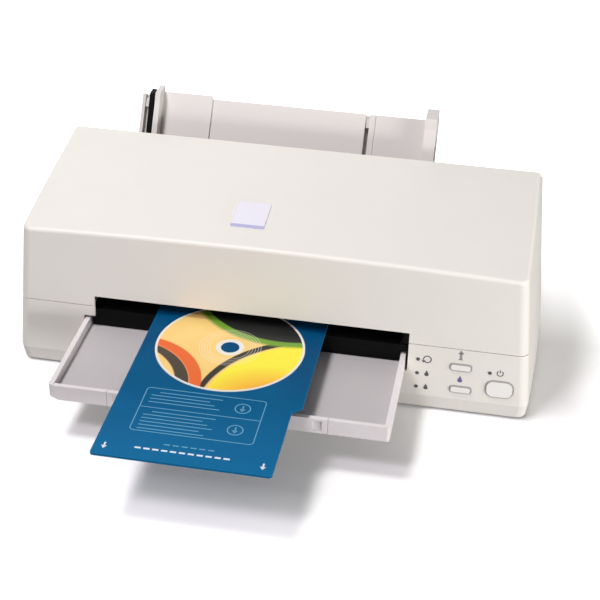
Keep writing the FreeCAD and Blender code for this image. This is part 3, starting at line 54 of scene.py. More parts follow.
# Measures that several pieces share, in metres, read from the printer's own nodes.
discProud = 0.0002      # how far the disc stands above the carrier
discLow, discHigh = corners("disc")
caseLow, caseHigh = corners("bottom_case")
printer = {
    "frontY": float(caseLow[1]), "backY": float(caseHigh[1]),
    "discCentre": tuple((discLow + discHigh) / 2.0), "discRadius": float(discHigh[0] - discLow[0]) / 2.0,
    "carrierTop": float(discHigh[2]) - discProud, "carrierFront": float(corners("disc_carrier")[0][1]),
    "trayTop": float(corners("output_tray")[1][2]),
}


# Shader groups

def newGroup(name, inputs, outputs):
    # An empty node group with named inputs, each (label, kind, value), and named outputs, each (label, kind).
    group = bpy.data.node_groups.new(name, "ShaderNodeTree")
    for label, kind, value in inputs:
        socket = group.interface.new_socket(label, in_out="INPUT", socket_type="NodeSocket" + kind)
        socket.default_value = value
    for label, kind in outputs:
        group.interface.new_socket(label, in_out="OUTPUT", socket_type="NodeSocket" + kind)
    return group, group.nodes.new("NodeGroupInput"), group.nodes.new("NodeGroupOutput")


def addNode(tree, kind, values=None, **settings):
    # One node with its settings and the values of its inputs, where a value may be a socket.
    node = tree.nodes.new("ShaderNode" + kind)
    for key, value in settings.items():
        setattr(node, key, value)
    for key, value in (values or {}).items():
        if isinstance(value, bpy.types.NodeSocket):
            tree.links.new(value, node.inputs[key])
        else:
            node.inputs[key].default_value = value
    return node


def join(tree, source, target):
    tree.links.new(source, target)


def calc(tree, operation, *values, clamp=False):
    # A math node on sockets or plain numbers.
    return addNode(tree, "Math", dict(enumerate(values)), operation=operation, use_clamp=clamp).outputs[0]


def vector(tree, operation, *values, output=0):
    # A vector math node on sockets or plain vectors.
    return addNode(tree, "VectorMath", dict(enumerate(values)), operation=operation).outputs[output]


def beyondBox(tree, spot, centre, half):
    # How far a place lies outside a box: the length of what its distances from the centre exceed the half sizes by.
    away = vector(tree, "ABSOLUTE", vector(tree, "SUBTRACT", spot, centre))
    past = vector(tree, "MAXIMUM", vector(tree, "SUBTRACT", away, half), (0.0, 0.0, 0.0))
    return vector(tree, "LENGTH", past, output="Value")


def noise(tree, spot, scale, detail):
    # Plain noise from 0 to 1 at a scale.
    return addNode(tree, "TexNoise", {"Vector": spot, "Scale": scale, "Detail": detail}).outputs["Fac"]


def setBump(tree, shader, strength, distance, height):
    # Small relief in the shader's normal.
    bump = addNode(tree, "Bump", {"Strength": strength, "Distance": distance, "Height": height})
    join(tree, bump.outputs[0], shader.inputs["Normal"])


def mixColour(tree, factor, first, second):
    # Colour mix of two sockets or plain colours.
    full = [value if isinstance(value, bpy.types.NodeSocket) else (*value, 1.0) for value in (first, second)]
    return addNode(tree, "Mix", {0: factor, 6: full[0], 7: full[1]}, data_type="RGBA").outputs[2]


def ramp(tree, source, low, high, first=0.0, last=1.0):
    # Straight change from first to last while the source goes from low to high.
    values = {0: source, "From Min": low, "From Max": high, "To Min": first, "To Max": last}
    return addNode(tree, "MapRange", values).outputs[0]


def place(tree):
    # The surface's own place on the printer, and its three parts.
    spot = addNode(tree, "TexCoord").outputs["Object"]
    parts = addNode(tree, "SeparateXYZ", {0: spot}).outputs
    return spot, parts["X"], parts["Y"], parts["Z"]


def grainGroup():
    # Moulded grain: fine noise for the height, and a slow noise that shifts the colour and the roughness.
    group, start, end = newGroup("mouldedGrain", [
        ("Grain Size", "Float", 0.0006), ("Tint Size", "Float", 0.08), ("Tint", "Float", 0.03),
        ("Colour", "Color", (0.8, 0.8, 0.8, 1.0))], [
        ("Height", "Float"), ("Colour", "Color"), ("Roughness Shift", "Float")])
    spot = place(group)[0]
    fine = addNode(group, "TexNoise", {"Vector": spot, "Detail": 3.0, "Roughness": 0.55,
                                       "Scale": calc(group, "DIVIDE", 1.0, start.outputs["Grain Size"])})
    slow = noise(group, spot, calc(group, "DIVIDE", 1.0, start.outputs["Tint Size"]), 4.0)
    centred = calc(group, "SUBTRACT", slow, 0.5)
    level = calc(group, "MULTIPLY_ADD", centred, start.outputs["Tint"], 1.0)
    tone = addNode(group, "VectorMath", {0: start.outputs["Colour"], "Scale": level}, operation="SCALE")
    join(group, fine.outputs["Fac"], end.inputs["Height"])
    join(group, tone.outputs[0], end.inputs["Colour"])
    join(group, calc(group, "MULTIPLY", centred, 0.12), end.inputs["Roughness Shift"])
    return group


def wearGroup():
    # Edge wear: how far the bevelled normal leaves the plain one, broken up by noise.
    group, start, end = newGroup("edgeWear", [("Width", "Float", 0.0008), ("Amount", "Float", 0.5)],
                                 [("Mask", "Float")])
    bevel = addNode(group, "Bevel", {"Radius": start.outputs["Width"]}, samples=4)
    plain = addNode(group, "NewGeometry")
    across = vector(group, "DOT_PRODUCT", bevel.outputs[0], plain.outputs["Normal"], output="Value")
    edge = calc(group, "SUBTRACT", 1.0, across)
    broken = calc(group, "MULTIPLY", edge, noise(group, place(group)[0], 260.0, 3.0))
    scaled = calc(group, "MULTIPLY", broken, calc(group, "MULTIPLY", start.outputs["Amount"], 6.0))
    join(group, calc(group, "MINIMUM", scaled, 1.0), end.inputs["Mask"])
    return group


def dustGroup():
    # Dust that rests on faces turned upwards, in soft patches.
    group, start, end = newGroup("restingDust", [("Amount", "Float", 0.3)], [("Mask", "Float")])
    up = addNode(group, "SeparateXYZ", {0: addNode(group, "NewGeometry").outputs["Normal"]}).outputs["Z"]
    flat = ramp(group, up, 0.55, 1.0)
    patches = noise(group, place(group)[0], 42.0, 5.0)
    specks = noise(group, place(group)[0], 900.0, 2.0)
    both = calc(group, "MULTIPLY", ramp(group, patches, 0.4, 0.75), specks)
    join(group, calc(group, "MULTIPLY", calc(group, "MULTIPLY", both, flat), start.outputs["Amount"]),
         end.inputs["Mask"])
    return group


def spotGroup():
    # Soft-edged spot: 1 inside a radius about a centre, 0 outside.
    group, start, end = newGroup("roundSpot", [
        ("Place", "Vector", (0.0, 0.0, 0.0)), ("Centre", "Vector", (0.0, 0.0, 0.0)),
        ("Radius", "Float", 0.5), ("Soft", "Float", 0.01)], [("Mask", "Float")])
    away = vector(group, "SUBTRACT", start.outputs["Place"], start.outputs["Centre"])
    inside = calc(group, "SUBTRACT", start.outputs["Radius"], vector(group, "LENGTH", away, output="Value"))
    join(group, calc(group, "DIVIDE", inside, start.outputs["Soft"], clamp=True), end.inputs["Mask"])
    return group


def bandGroup():
    # Repeated bands: 1 in a share of each pitch along a coordinate, with soft edges.
    group, start, end = newGroup("evenBands", [
        ("Along", "Float", 0.0), ("Pitch", "Float", 0.002), ("Share", "Float", 0.5)], [("Mask", "Float")])
    turn = calc(group, "FRACT", calc(group, "DIVIDE", start.outputs["Along"], start.outputs["Pitch"]))
    half = calc(group, "ABSOLUTE", calc(group, "SUBTRACT", turn, 0.5))
    edge = calc(group, "SUBTRACT", calc(group, "MULTIPLY", start.outputs["Share"], 0.5), half)
    join(group, calc(group, "MULTIPLY_ADD", edge, 18.0, 0.5, clamp=True), end.inputs["Mask"])
    return group


grain, wear, dust, spotMask, bandMask = grainGroup(), wearGroup(), dustGroup(), spotGroup(), bandGroup()


def useGroup(tree, group, values, output="Mask"):
    # A placed node group with its own values, and one of its outputs.
    return addNode(tree, "Group", values, node_tree=group).outputs[output]


def bands(tree, along, look):
    # Even bands along a coordinate, with a look's pitch and share.
    return useGroup(tree, bandMask, {"Along": along, "Pitch": look["pitch"], "Share": look["share"]})


def between(tree, part, low, high):
    # 1 where a coordinate lies between two values.
    return calc(tree, "MULTIPLY", calc(tree, "GREATER_THAN", part, low), calc(tree, "LESS_THAN", part, high))


# Plain materials

materials = {}
surface = {
    "relief": 12.0, "grainHeight": 0.0002, "dust": (0.62, 0.60, 0.56),                       # plastic and rubber
    "lineHeight": 0.0001, "lineRoughness": 0.25, "metalDusty": 0.25, "metalDust": (0.5, 0.49, 0.46),
}


def blank(name):
    # A new material, listed by its name, with its Principled shader.
    material = bpy.data.materials.new(name)
    materials[name] = material
    material.use_nodes = True
    tree = material.node_tree
    return material, tree, next(node for node in tree.nodes if node.type == "BSDF_PRINCIPLED")


def moulded(name, colour, roughness, grainSize=0.0005, bump=0.08, tint=0.04, tintSize=0.09, worn=None,
            wornAmount=0.5, dusty=0.0, paint=None, relief=None, shine=0.5):
    # Moulded plastic or rubber: grain, slow tint, paler edges where worn names a colour, and dust on top.
    # paint adds marks and painted shade to the colour, and relief adds to the height, each from the tree.
    _, tree, shader = blank(name)
    values = {"Grain Size": grainSize, "Tint Size": tintSize, "Tint": tint, "Colour": (*colour, 1.0)}
    look = addNode(tree, "Group", values, node_tree=grain).outputs
    shader.inputs["Specular IOR Level"].default_value = shine
    result = look["Colour"]
    if worn:
        result = mixColour(tree, useGroup(tree, wear, {"Amount": wornAmount}), result, worn)
    if paint:
        result = paint(tree, result)
    if dusty:
        result = mixColour(tree, useGroup(tree, dust, {"Amount": dusty}), result, surface["dust"])
    join(tree, result, shader.inputs["Base Color"])
    join(tree, calc(tree, "ADD", look["Roughness Shift"], roughness), shader.inputs["Roughness"])
    height = look["Height"]
    if relief:
        height = calc(tree, "MULTIPLY_ADD", relief(tree), surface["relief"], height)
    setBump(tree, shader, bump, surface["grainHeight"], height)


def metal(name, colour, roughness, stretch=(1.0, 40.0, 40.0), bump=0.05, cloudy=0.18):
    # Drawn or rolled metal: noise stretched along one axis in the roughness and bump, and slow clouds in the colour.
    _, tree, shader = blank(name)
    shader.inputs["Metallic"].default_value = 1.0
    spot = place(tree)[0]
    along = addNode(tree, "Mapping", {"Vector": spot, "Scale": stretch}).outputs[0]
    lines = noise(tree, along, 60.0, 4.0)
    cloud = noise(tree, spot, 35.0, 3.0)
    result = mixColour(tree, cloud, tuple(c * (1.0 - cloudy) for c in colour), colour)
    dusted = useGroup(tree, dust, {"Amount": surface["metalDusty"]})
    result = mixColour(tree, dusted, result, surface["metalDust"])
    join(tree, result, shader.inputs["Base Color"])
    join(tree, calc(tree, "MULTIPLY_ADD", lines, surface["lineRoughness"], roughness), shader.inputs["Roughness"])
    setBump(tree, shader, bump, surface["lineHeight"], lines)


caseColours = {
    "ivory": (0.82, 0.80, 0.735), "ivoryWorn": (0.87, 0.86, 0.82), "tray": (0.77, 0.735, 0.73),
    # The feeder colour is the case ivory darkened as painted shade on the sloping feeder parts.
    "feeder": (0.70, 0.675, 0.635), "trayWorn": (0.80, 0.78, 0.77), "slitShade": (0.02, 0.02, 0.022),
# The slit colour is painted shade inside the vent slits.
}

caseVents = {
    "left": -0.125, "right": 0.035, "low": 0.074, "high": 0.096,      # vents in the back panel, in X and Z
    "pitch": 0.005, "share": 0.46, "depth": 0.001,
}


def ventMask(tree):
    # Upright slits in the back panel: even bands along X inside a window in X and Z, at the printer's back.
    _, x, y, z = place(tree)
    across = between(tree, x, caseVents["left"], caseVents["right"])
    window = calc(tree, "MULTIPLY", across, between(tree, z, caseVents["low"], caseVents["high"]))
    window = calc(tree, "MULTIPLY", window, bands(tree, x, caseVents))
    return calc(tree, "MULTIPLY", window, calc(tree, "GREATER_THAN", y, printer["backY"] - caseVents["depth"]))


def paintSlitShade(tree, colour):
    # Dark slits: painted shade inside the vent openings.
    return mixColour(tree, ventMask(tree), colour, caseColours["slitShade"])


def slitDepth(tree):
    # Sunken slits.
    return calc(tree, "MULTIPLY", ventMask(tree), -1.0)


underside = {"pitch": 0.018, "share": 0.12, "top": 0.0026}


def underRibs(tree):
    # Shallow ribs moulded into the underside: bands along X and Y, only below the case's floor.
    _, x, y, z = place(tree)
    both = calc(tree, "MAXIMUM", bands(tree, x, underside), bands(tree, y, underside))
    return calc(tree, "MULTIPLY", both, calc(tree, "LESS_THAN", z, underside["top"]))


beltTeeth = {"pitch": 0.002, "share": 0.5}


def toothRows(tree):
    # Teeth of the belt: even bands along X.
    return bands(tree, place(tree)[1], beltTeeth)


filmLines = {"pitch": 0.0007, "share": 0.5, "colour": (0.05, 0.05, 0.055)}


def stripLines(tree, colour):
    # Fine upright lines of the encoder strip.
    return mixColour(tree, bands(tree, place(tree)[1], filmLines), colour, filmLines["colour"])


# Painted shade on the badge's edges: a greyer side border and a darker, bluer front strip.
badgeEdgeShade = {"width": 0.0009, "front": 0.0032, "sideShade": (0.80, 0.79, 0.84), "frontShade": (0.50, 0.50, 0.74)}


def paintBadgeEdgeShade(tree, colour):
    # Painted shade round the blank badge: the parts of the plate within a millimetre of its sides, and a darker,
    # bluer front strip.
    low, high = corners("cover_badge")
    _, x, y, _ = place(tree)
    inner = None
    for part, axis in ((x, 0), (y, 1)):
        centre = float(low[axis] + high[axis]) / 2.0
        reach = float(high[axis] - low[axis]) / 2.0 - badgeEdgeShade["width"]
        near = calc(tree, "LESS_THAN", calc(tree, "ABSOLUTE", calc(tree, "SUBTRACT", part, centre)), reach)
        inner = near if inner is None else calc(tree, "MULTIPLY", inner, near)
    side = mixColour(tree, inner, badgeEdgeShade["sideShade"], colour)
    front = calc(tree, "LESS_THAN", y, float(low[1]) + badgeEdgeShade["front"])
    return mixColour(tree, front, side, badgeEdgeShade["frontShade"])


boardTracks = {"pitch": 0.0021, "share": 0.22, "bend": 0.012, "strength": 0.5, "colour": (0.05, 0.26, 0.10),
               "padScale": 240.0, "padSize": 0.13, "padColour": (0.55, 0.55, 0.50)}


def copperTracks(tree, colour):
    # Paler tracks under the solder mask, bent by noise, with a rash of small pads.
    spot, x, y, z = place(tree)
    look = boardTracks
    bend = noise(tree, spot, 60.0, 1.0)
    result = colour
    for part in (x, calc(tree, "ADD", y, z)):
        moved = calc(tree, "MULTIPLY_ADD", bend, look["bend"], part)
        tracks = calc(tree, "MULTIPLY", bands(tree, moved, look), look["strength"])
        result = mixColour(tree, tracks, result, look["colour"])
    cells = addNode(tree, "TexVoronoi", {"Vector": spot, "Scale": look["padScale"]}).outputs["Distance"]
    return mixColour(tree, calc(tree, "LESS_THAN", cells, look["padSize"]), result, look["padColour"])


rollerSleeve = {"middle": -0.021, "half": 0.1271, "steel": (0.45, 0.45, 0.46)}


def sleeveEnds(tree, colour):
    # The feed roller's steel ends, left and right of its rubber sleeve.
    away = calc(tree, "ABSOLUTE", calc(tree, "SUBTRACT", place(tree)[1], rollerSleeve["middle"]))
    return mixColour(tree, calc(tree, "GREATER_THAN", away, rollerSleeve["half"]), colour, rollerSleeve["steel"])


# Painted shade round the buttons' edges, in the given colour.
buttonRimShade = {"nodes": ("load_button", "clean_button", "power_button"), "flange": 0.0014, "corner": 0.8,
              "wide": 0.0011, "soft": 0.0004, "colour": (0.36, 0.35, 0.33)}


def paintButtonRimShade(tree, colour):
    # Painted shade round each button's edge: the distance from the nearest cap's rounded outline, inside its flange.
    spot = place(tree)[0]
    nearest = 1.0
    for node in buttonRimShade["nodes"]:
        low, high = corners(node)
        centre, half = (low + high) / 2.0, (high - low) / 2.0 - buttonRimShade["flange"]
        corner = float(half[2]) * buttonRimShade["corner"]
        away = beyondBox(tree, spot, (centre[0], 0.0, centre[2]), (half[0] - corner, 1.0, half[2] - corner))
        nearest = calc(tree, "MINIMUM", nearest, calc(tree, "SUBTRACT", away, corner))
    rim = ramp(tree, nearest, -buttonRimShade["wide"], -buttonRimShade["wide"] + buttonRimShade["soft"])
    return mixColour(tree, rim, colour, buttonRimShade["colour"])


# Painted shade on the tray's upward faces below its rim.
trayShade = {"below": 0.0040, "soft": 0.0010, "flatFrom": 0.6, "flatTo": 0.9, "strength": 0.7,
             "colour": (0.40, 0.385, 0.39)}


def paintTrayShade(tree, colour):
    # Painted shade: a greyer field on the faces turned upwards below the tray's rim.
    up = addNode(tree, "SeparateXYZ", {0: addNode(tree, "TexCoord").outputs["Normal"]}).outputs["Z"]
    level = printer["trayTop"] - trayShade["below"]
    low = ramp(tree, place(tree)[3], level, level + trayShade["soft"], 1.0, 0.0)
    shadedField = calc(tree, "MULTIPLY", ramp(tree, up, trayShade["flatFrom"], trayShade["flatTo"]), low)
    return mixColour(tree, calc(tree, "MULTIPLY", shadedField, trayShade["strength"]), colour, trayShade["colour"])


def ivoryLook(name, colour=caseColours["ivory"], dusty=0.10, **more):
    # Aged ivory plastic of the case and the feeder.
    moulded(name, colour, 0.44, worn=caseColours["ivoryWorn"], wornAmount=0.4, dusty=dusty, **more)


ivoryLook("caseIvory")
# The feeder's copy of the ivory is darker as painted shade.
ivoryLook("feederIvoryShaded", caseColours["feeder"])
ivoryLook("lowerIvory", relief=underRibs)
ivoryLook("ventedIvory", dusty=0.12, paint=paintSlitShade, relief=slitDepth)
moulded("trayIvory", caseColours["tray"], 0.46, worn=caseColours["trayWorn"], dusty=0.12, paint=paintTrayShade)
moulded("buttonIvory", (0.87, 0.86, 0.82), 0.30, grainSize=0.0003, bump=0.04, paint=paintButtonRimShade)
moulded("badgePlate", (0.86, 0.85, 0.92), 0.20, grainSize=0.0002, bump=0.02, tint=0.03, paint=paintBadgeEdgeShade)
moulded("lampLens", (0.11, 0.11, 0.115), 0.15, grainSize=0.0002, bump=0.02)
moulded("darkPlastic", (0.003, 0.003, 0.0033), 0.6, worn=(0.02, 0.02, 0.021), wornAmount=0.3, shine=0.1)
metal("steelSheet", (0.42, 0.43, 0.44), 0.34)
metal("polishedSteel", (0.62, 0.62, 0.64), 0.14, stretch=(0.5, 16.0, 16.0), bump=0.01)
moulded("rollerRubber", (0.022, 0.022, 0.022), 0.78, grainSize=0.0004, bump=0.25)
moulded("sleevedSteel", (0.022, 0.022, 0.022), 0.7, grainSize=0.0004, bump=0.2, paint=sleeveEnds)
moulded("inkBlack", (0.03, 0.03, 0.033), 0.4)
moulded("inkColour", (0.34, 0.35, 0.37), 0.4)
moulded("gearWhite", (0.74, 0.73, 0.69), 0.4, grainSize=0.0003)
moulded("boardGreen", (0.012, 0.10, 0.04), 0.3, grainSize=0.0008, bump=0.05, tint=0.3, tintSize=0.01,
        paint=copperTracks)
moulded("beltRubber", (0.02, 0.02, 0.021), 0.7, bump=0.25, relief=toothRows)
moulded("stripFilm", (0.42, 0.43, 0.44), 0.2, bump=0.02, paint=stripLines)
moulded("padFelt", (0.30, 0.29, 0.27), 0.95, grainSize=0.0012, bump=0.6, tint=0.4, tintSize=0.01)

slotLooks = {
    "case_ivory": "caseIvory", "tray_ivory": "trayIvory", "button_ivory": "buttonIvory", "badge_plate": "badgePlate",
    "lamp_lens": "lampLens", "dark_plastic": "darkPlastic", "sheet_steel": "steelSheet",
    "polished_steel": "polishedSteel", "roller_rubber": "rollerRubber", "ink_black": "inkBlack",
    "ink_colour": "inkColour", "gear_white": "gearWhite", "board_green": "boardGreen", "belt_rubber": "beltRubber",
    "strip_clear": "stripFilm", "felt": "padFelt", "carrier_blue": "darkPlastic", "disc_print": "darkPlastic",
}
nodeLooks = {"bottom_case": "lowerIvory", "rear_case": "ventedIvory", "feed_roller": "sleevedSteel",
             "feeder_frame": "feederIvoryShaded", "hopper_plate": "feederIvoryShaded", "edge_guide": "feederIvoryShaded"}

for part in record["subparts"]:
    thing = nodes[part["node"]]
    thing.data.materials.clear()
    thing.data.materials.append(materials[nodeLooks.get(part["node"], slotLooks[part["material_slot"]])])
print("plain materials:", len(materials))


# Carrier sheet and disc

carrierColours = {
    # front is the sheet's own blue; rear is that blue darkened as painted shade where the sheet runs into the slot.
    "front": (0.0, 0.13, 0.30), "rear": (0.0, 0.062, 0.165), "slotShadeLength": 0.15, "edge": (0.02, 0.22, 0.42),
    "cloud": (0.0, 0.16, 0.34), "cloudScale": 22.0, "rub": (0.01, 0.26, 0.44), "rubStretch": (420.0, 9.0, 1.0),
    "worn": 0.6, "roughness": (0.46, 0.56), "shine": 0.08, "grainScale": 1800.0, "grainBump": 0.05,
}


def carrierLook():
    # Blue sheet, darkened towards the slot as painted shade, with a satin grain, faint rub marks along its length and
    # paler edges.
    material, tree, shader = blank("carrierBlue")
    spot, _, y, _ = place(tree)
    look, front = carrierColours, printer["carrierFront"]
    base = mixColour(tree, ramp(tree, y, front, front + look["slotShadeLength"]), look["front"], look["rear"])
    base = mixColour(tree, ramp(tree, noise(tree, spot, look["cloudScale"], 3.0), 0.35, 0.75, 0.0, 0.22), base,
                     look["cloud"])
    rubs = addNode(tree, "Mapping", {"Vector": spot, "Scale": look["rubStretch"]}).outputs[0]
    rubbed = noise(tree, rubs, 1.0, 2.0)
    base = mixColour(tree, ramp(tree, rubbed, 0.66, 0.8, 0.0, 0.18), base, look["rub"])
    base = mixColour(tree, useGroup(tree, wear, {"Amount": look["worn"]}), base, look["edge"])
    join(tree, base, shader.inputs["Base Color"])
    join(tree, ramp(tree, rubbed, 0.5, 0.8, *look["roughness"]), shader.inputs["Roughness"])
    shader.inputs["Specular IOR Level"].default_value = look["shine"]
    setBump(tree, shader, look["grainBump"], surface["lineHeight"], noise(tree, spot, look["grainScale"], 2.0))
    return material


# Each spot has its X to the right, its Y to the back, its radius and its soft edge, in disc radii from the centre.
discDesign = {
    "ground": ((0.90, 0.55, 0.14), (0.93, 0.70, 0.26)), "duneColours": ((0.94, 0.84, 0.04), (0.92, 0.36, 0.02)),
    "dune": (1.35, -1.15, 1.46, 0.03),
    "ember": (0.75, -1.30, 1.00, 0.55),
    "shadeOuter": (1.35, -1.15, 1.58, 0.012),
    "shadeInner": (1.42, -1.22, 1.58, 0.02),
    "night": (0.62, 1.62, 1.36, 0.012),
    "grassOuter": (0.62, 1.62, 1.50, 0.06),
    "grassInner": (0.80, 1.72, 1.44, 0.10),
    "flameOuter": (-1.20, -0.98, 1.02, 0.015),
    "flameInner": (-1.34, -1.08, 1.02, 0.03),
    "rootOuter": (-1.34, -1.08, 1.01, 0.012),
    "rootInner": (-1.48, -1.10, 0.98, 0.02),
    "shadeColour": (0.014, 0.015, 0.013), "grassColour": (0.17, 0.36, 0.03), "nightColour": (0.012, 0.014, 0.013),
    "flameColour": (0.80, 0.13, 0.015), "rootColour": (0.05, 0.035, 0.02),
    "lines": {"pitch": 0.036, "share": 0.22}, "linesFrom": 0.24, "linesTo": 0.42, "linesStrength": 0.55,
    "linesColour": (0.9, 0.86, 0.7), "rim": 0.968, "rimColour": (0.80, 0.78, 0.72), "hubRing": 0.19,
    "groundScale": 1.6, "speckScale": 90.0, "roughness": (0.30, 0.40), "coat": 0.1,
}


def discLook():
    # Printed face in warm colours: a yellow dune under a dark sky with a green edge, and red and brown sweeps on an
    # amber ground, all of them large spots less other spots, with fine rings round the hub and a pale rim.
    material, tree, shader = blank("discPrint")
    design, centre, size = discDesign, printer["discCentre"], 1.0 / printer["discRadius"]
    offset = (-centre[0] * size, -centre[1] * size, 0.0)
    values = {"Vector": place(tree)[0], "Scale": (size, size, 0.0), "Location": offset}
    inRadii = addNode(tree, "Mapping", values).outputs[0]

    def spotOf(name):
        x, y, radius, soft = design[name]
        return useGroup(tree, spotMask, {"Place": inRadii, "Centre": (x, y, 0.0), "Radius": radius, "Soft": soft})

    def crescent(name):
        return calc(tree, "MULTIPLY", spotOf(name + "Outer"), calc(tree, "SUBTRACT", 1.0, spotOf(name + "Inner")))

    colour = mixColour(tree, noise(tree, inRadii, design["groundScale"], 2.0), *design["ground"])
    colour = mixColour(tree, spotOf("dune"), colour, mixColour(tree, spotOf("ember"), *design["duneColours"]))
    for name, shape in (("shade", crescent), ("grass", crescent), ("night", spotOf), ("flame", crescent),
                        ("root", crescent)):
        colour = mixColour(tree, shape(name), colour, design[name + "Colour"])
    length = vector(tree, "LENGTH", inRadii, output="Value")
    near = between(tree, length, design["linesFrom"], design["linesTo"])
    rings = calc(tree, "MULTIPLY", bands(tree, length, design["lines"]), near)
    strength = calc(tree, "MULTIPLY", rings, design["linesStrength"])
    colour = mixColour(tree, strength, colour, design["linesColour"])
    rim = calc(tree, "GREATER_THAN", length, design["rim"])
    hub = calc(tree, "LESS_THAN", length, design["hubRing"])
    colour = mixColour(tree, calc(tree, "MAXIMUM", rim, hub), colour, design["rimColour"])
    join(tree, colour, shader.inputs["Base Color"])
    specks = noise(tree, inRadii, design["speckScale"], 3.0)
    join(tree, ramp(tree, specks, 0.3, 0.7, *design["roughness"]), shader.inputs["Roughness"])
    shader.inputs["Coat Weight"].default_value = design["coat"]
    return material


for name, look in (("disc_carrier", carrierLook), ("disc", discLook)):
    nodes[name].data.materials[0] = look()
print("carrier and disc done")


# Shapes for the new pieces

def gridFaces(rows, columns):
    # Quads of a grid of points, whose columns join up again.
    row, column = np.arange(rows - 1)[:, None] * columns, np.arange(columns)[None, :]
    after = (column + 1) % columns
    quads = [row + column, row + after, row + columns + after, row + columns + column]
    return np.stack(quads, -1).reshape(-1, 4).tolist()


def gather(shapes):
    # One list of points, one of faces and one of each face's material number, from several shapes.
    points, faces, kinds = [], [], []
    for shapePoints, shapeFaces, look in shapes:
        start = len(points)
        points += np.asarray(shapePoints, float).tolist()
        faces += [[int(i) + start for i in face] for face in shapeFaces]
        kinds += [look] * len(shapeFaces)
    return points, faces, kinds


def addObject(name, data):
    # A new object in the scene.
    thing = bpy.data.objects.new(name, data)
    bpy.context.collection.objects.link(thing)
    return thing


def makePiece(name, shapes, looks, body, bevel=0.0, smooth=False):
    # A piece from shapes, each (points, faces, number of its material in looks), riding on a body.
    points, faces, kinds = gather(shapes)
    mesh = bpy.data.meshes.new(name)
    mesh.from_pydata(points, [], faces)
    for look in looks:
        mesh.materials.append(materials[look])
    mesh.polygons.foreach_set("material_index", kinds)
    mesh.polygons.foreach_set("use_smooth", [smooth] * len(faces))
    tidy = bmesh.new()
    tidy.from_mesh(mesh)
    bmesh.ops.recalc_face_normals(tidy, faces=tidy.faces)
    tidy.to_mesh(mesh)
    tidy.free()
    piece = addObject(name, mesh)
    if bevel:
        rounding = piece.modifiers.new("softEdges", "BEVEL")
        rounding.width, rounding.segments, rounding.limit_method = bevel, 2, "ANGLE"
    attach(piece, body)


def arcPath(centre, radius, start, end, steps=28):
    # Points at even angles on an arc, in degrees from straight right.
    angles = np.radians(np.linspace(start, end, steps))
    return np.stack([centre[0] + radius * np.cos(angles), centre[1] + radius * np.sin(angles)], -1)


def linePath(*points):
    return np.array(points, float)


def roundedPath(left, right, low, high, radius, steps=6):
    # Rounded rectangle: four quarter arcs about the inset corners, joined by straight sides.
    rounds = ((right - radius, low + radius, -90), (right - radius, high - radius, 0),
               (left + radius, high - radius, 90), (left + radius, low + radius, 180))
    return np.concatenate([arcPath((x, z), radius, turn, turn + 90, steps) for x, z, turn in rounds])


def dropPath(centre, size, wide=0.92, steps=26):
    # Teardrop: x is sin t times sin(t / 2) squared times wide, and z is cos t, both times half the size.
    turn = np.linspace(0.0, 2.0 * np.pi, steps, endpoint=False)
    x = np.sin(turn) * np.sin(turn / 2.0) ** 2 * wide
    return np.stack([centre[0] + x * size / 2.0, centre[1] + np.cos(turn) * size / 2.0], -1)


def lift(flat, level, plane):
    # Points of the XY or the XZ plane, at a level along the third axis.
    across = np.full(len(flat), level)
    if plane == "XY":
        return np.stack([flat[:, 0], flat[:, 1], across], -1)
    return np.stack([flat[:, 0], across, flat[:, 1]], -1)


def strip(path, width, base, thick, plane, closed=False):
    # Flat band along a path: two edges half the width to either side along the mitred normals, with a thickness.
    before = np.roll(path, 1, 0) if closed else np.concatenate([2 * path[:1] - path[1:2], path[:-1]])
    after = np.roll(path, -1, 0) if closed else np.concatenate([path[1:], 2 * path[-1:] - path[-2:-1]])
    run1 = (path - before) / np.linalg.norm(path - before, axis=1)[:, None]
    run2 = (after - path) / np.linalg.norm(after - path, axis=1)[:, None]
    mean = run1 + run2
    mean /= np.linalg.norm(mean, axis=1)[:, None]
    spread = (mean * run1).sum(1)[:, None]
    side = np.stack([-mean[:, 1], mean[:, 0]], -1) * (width / 2.0) / spread
    rings = [lift(path + side, base, plane), lift(path - side, base, plane),
             lift(path - side, base + thick, plane), lift(path + side, base + thick, plane)]
    points = np.stack(rings, 1)
    if closed:
        points = np.concatenate([points, points[:1]])
    rows = len(points)
    faces = gridFaces(rows, 4)
    if not closed:
        faces += [[3, 2, 1, 0], [(rows - 1) * 4 + i for i in range(4)]]
    return points.reshape(-1, 3), faces


def plate(path, base, thick, plane):
    # Filled flat shape with a thickness: the outline at two levels, two end faces and the wall between them.
    count = len(path)
    points = np.concatenate([lift(path, base, plane), lift(path, base + thick, plane)])
    return points, gridFaces(2, count) + [list(range(count)), list(range(2 * count - 1, count - 1, -1))]


def block(low, high):
    # Box between two corners, as a plate of its rectangle.
    path = linePath((low[0], low[1]), (high[0], low[1]), (high[0], high[1]), (low[0], high[1]))
    return plate(path, low[2], high[2] - low[2], "XY")


def tubeFaces(rows, columns):
    # Wall and two ends of a tube whose points lie in rings.
    last = (rows - 1) * columns
    ends = [list(range(columns)), [last + i for i in range(columns - 1, -1, -1)]]
    return gridFaces(rows, columns) + ends


def turned(profile, centre, axis, steps=20):
    # Turned shape: a profile of (radius, along) points swept round an axis through the centre.
    angles = np.linspace(0.0, 2.0 * np.pi, steps, endpoint=False)
    axis = np.array(axis, float)
    first = np.cross(axis, (0.3, 0.5, 0.8))
    first /= np.linalg.norm(first)
    second = np.cross(axis, first)
    ring = np.cos(angles)[:, None] * first + np.sin(angles)[:, None] * second
    profile = np.array(profile, float)
    points = np.array(centre) + profile[:, 0, None, None] * ring[None] + profile[:, 1, None, None] * axis
    return points.reshape(-1, 3), tubeFaces(len(profile), steps)


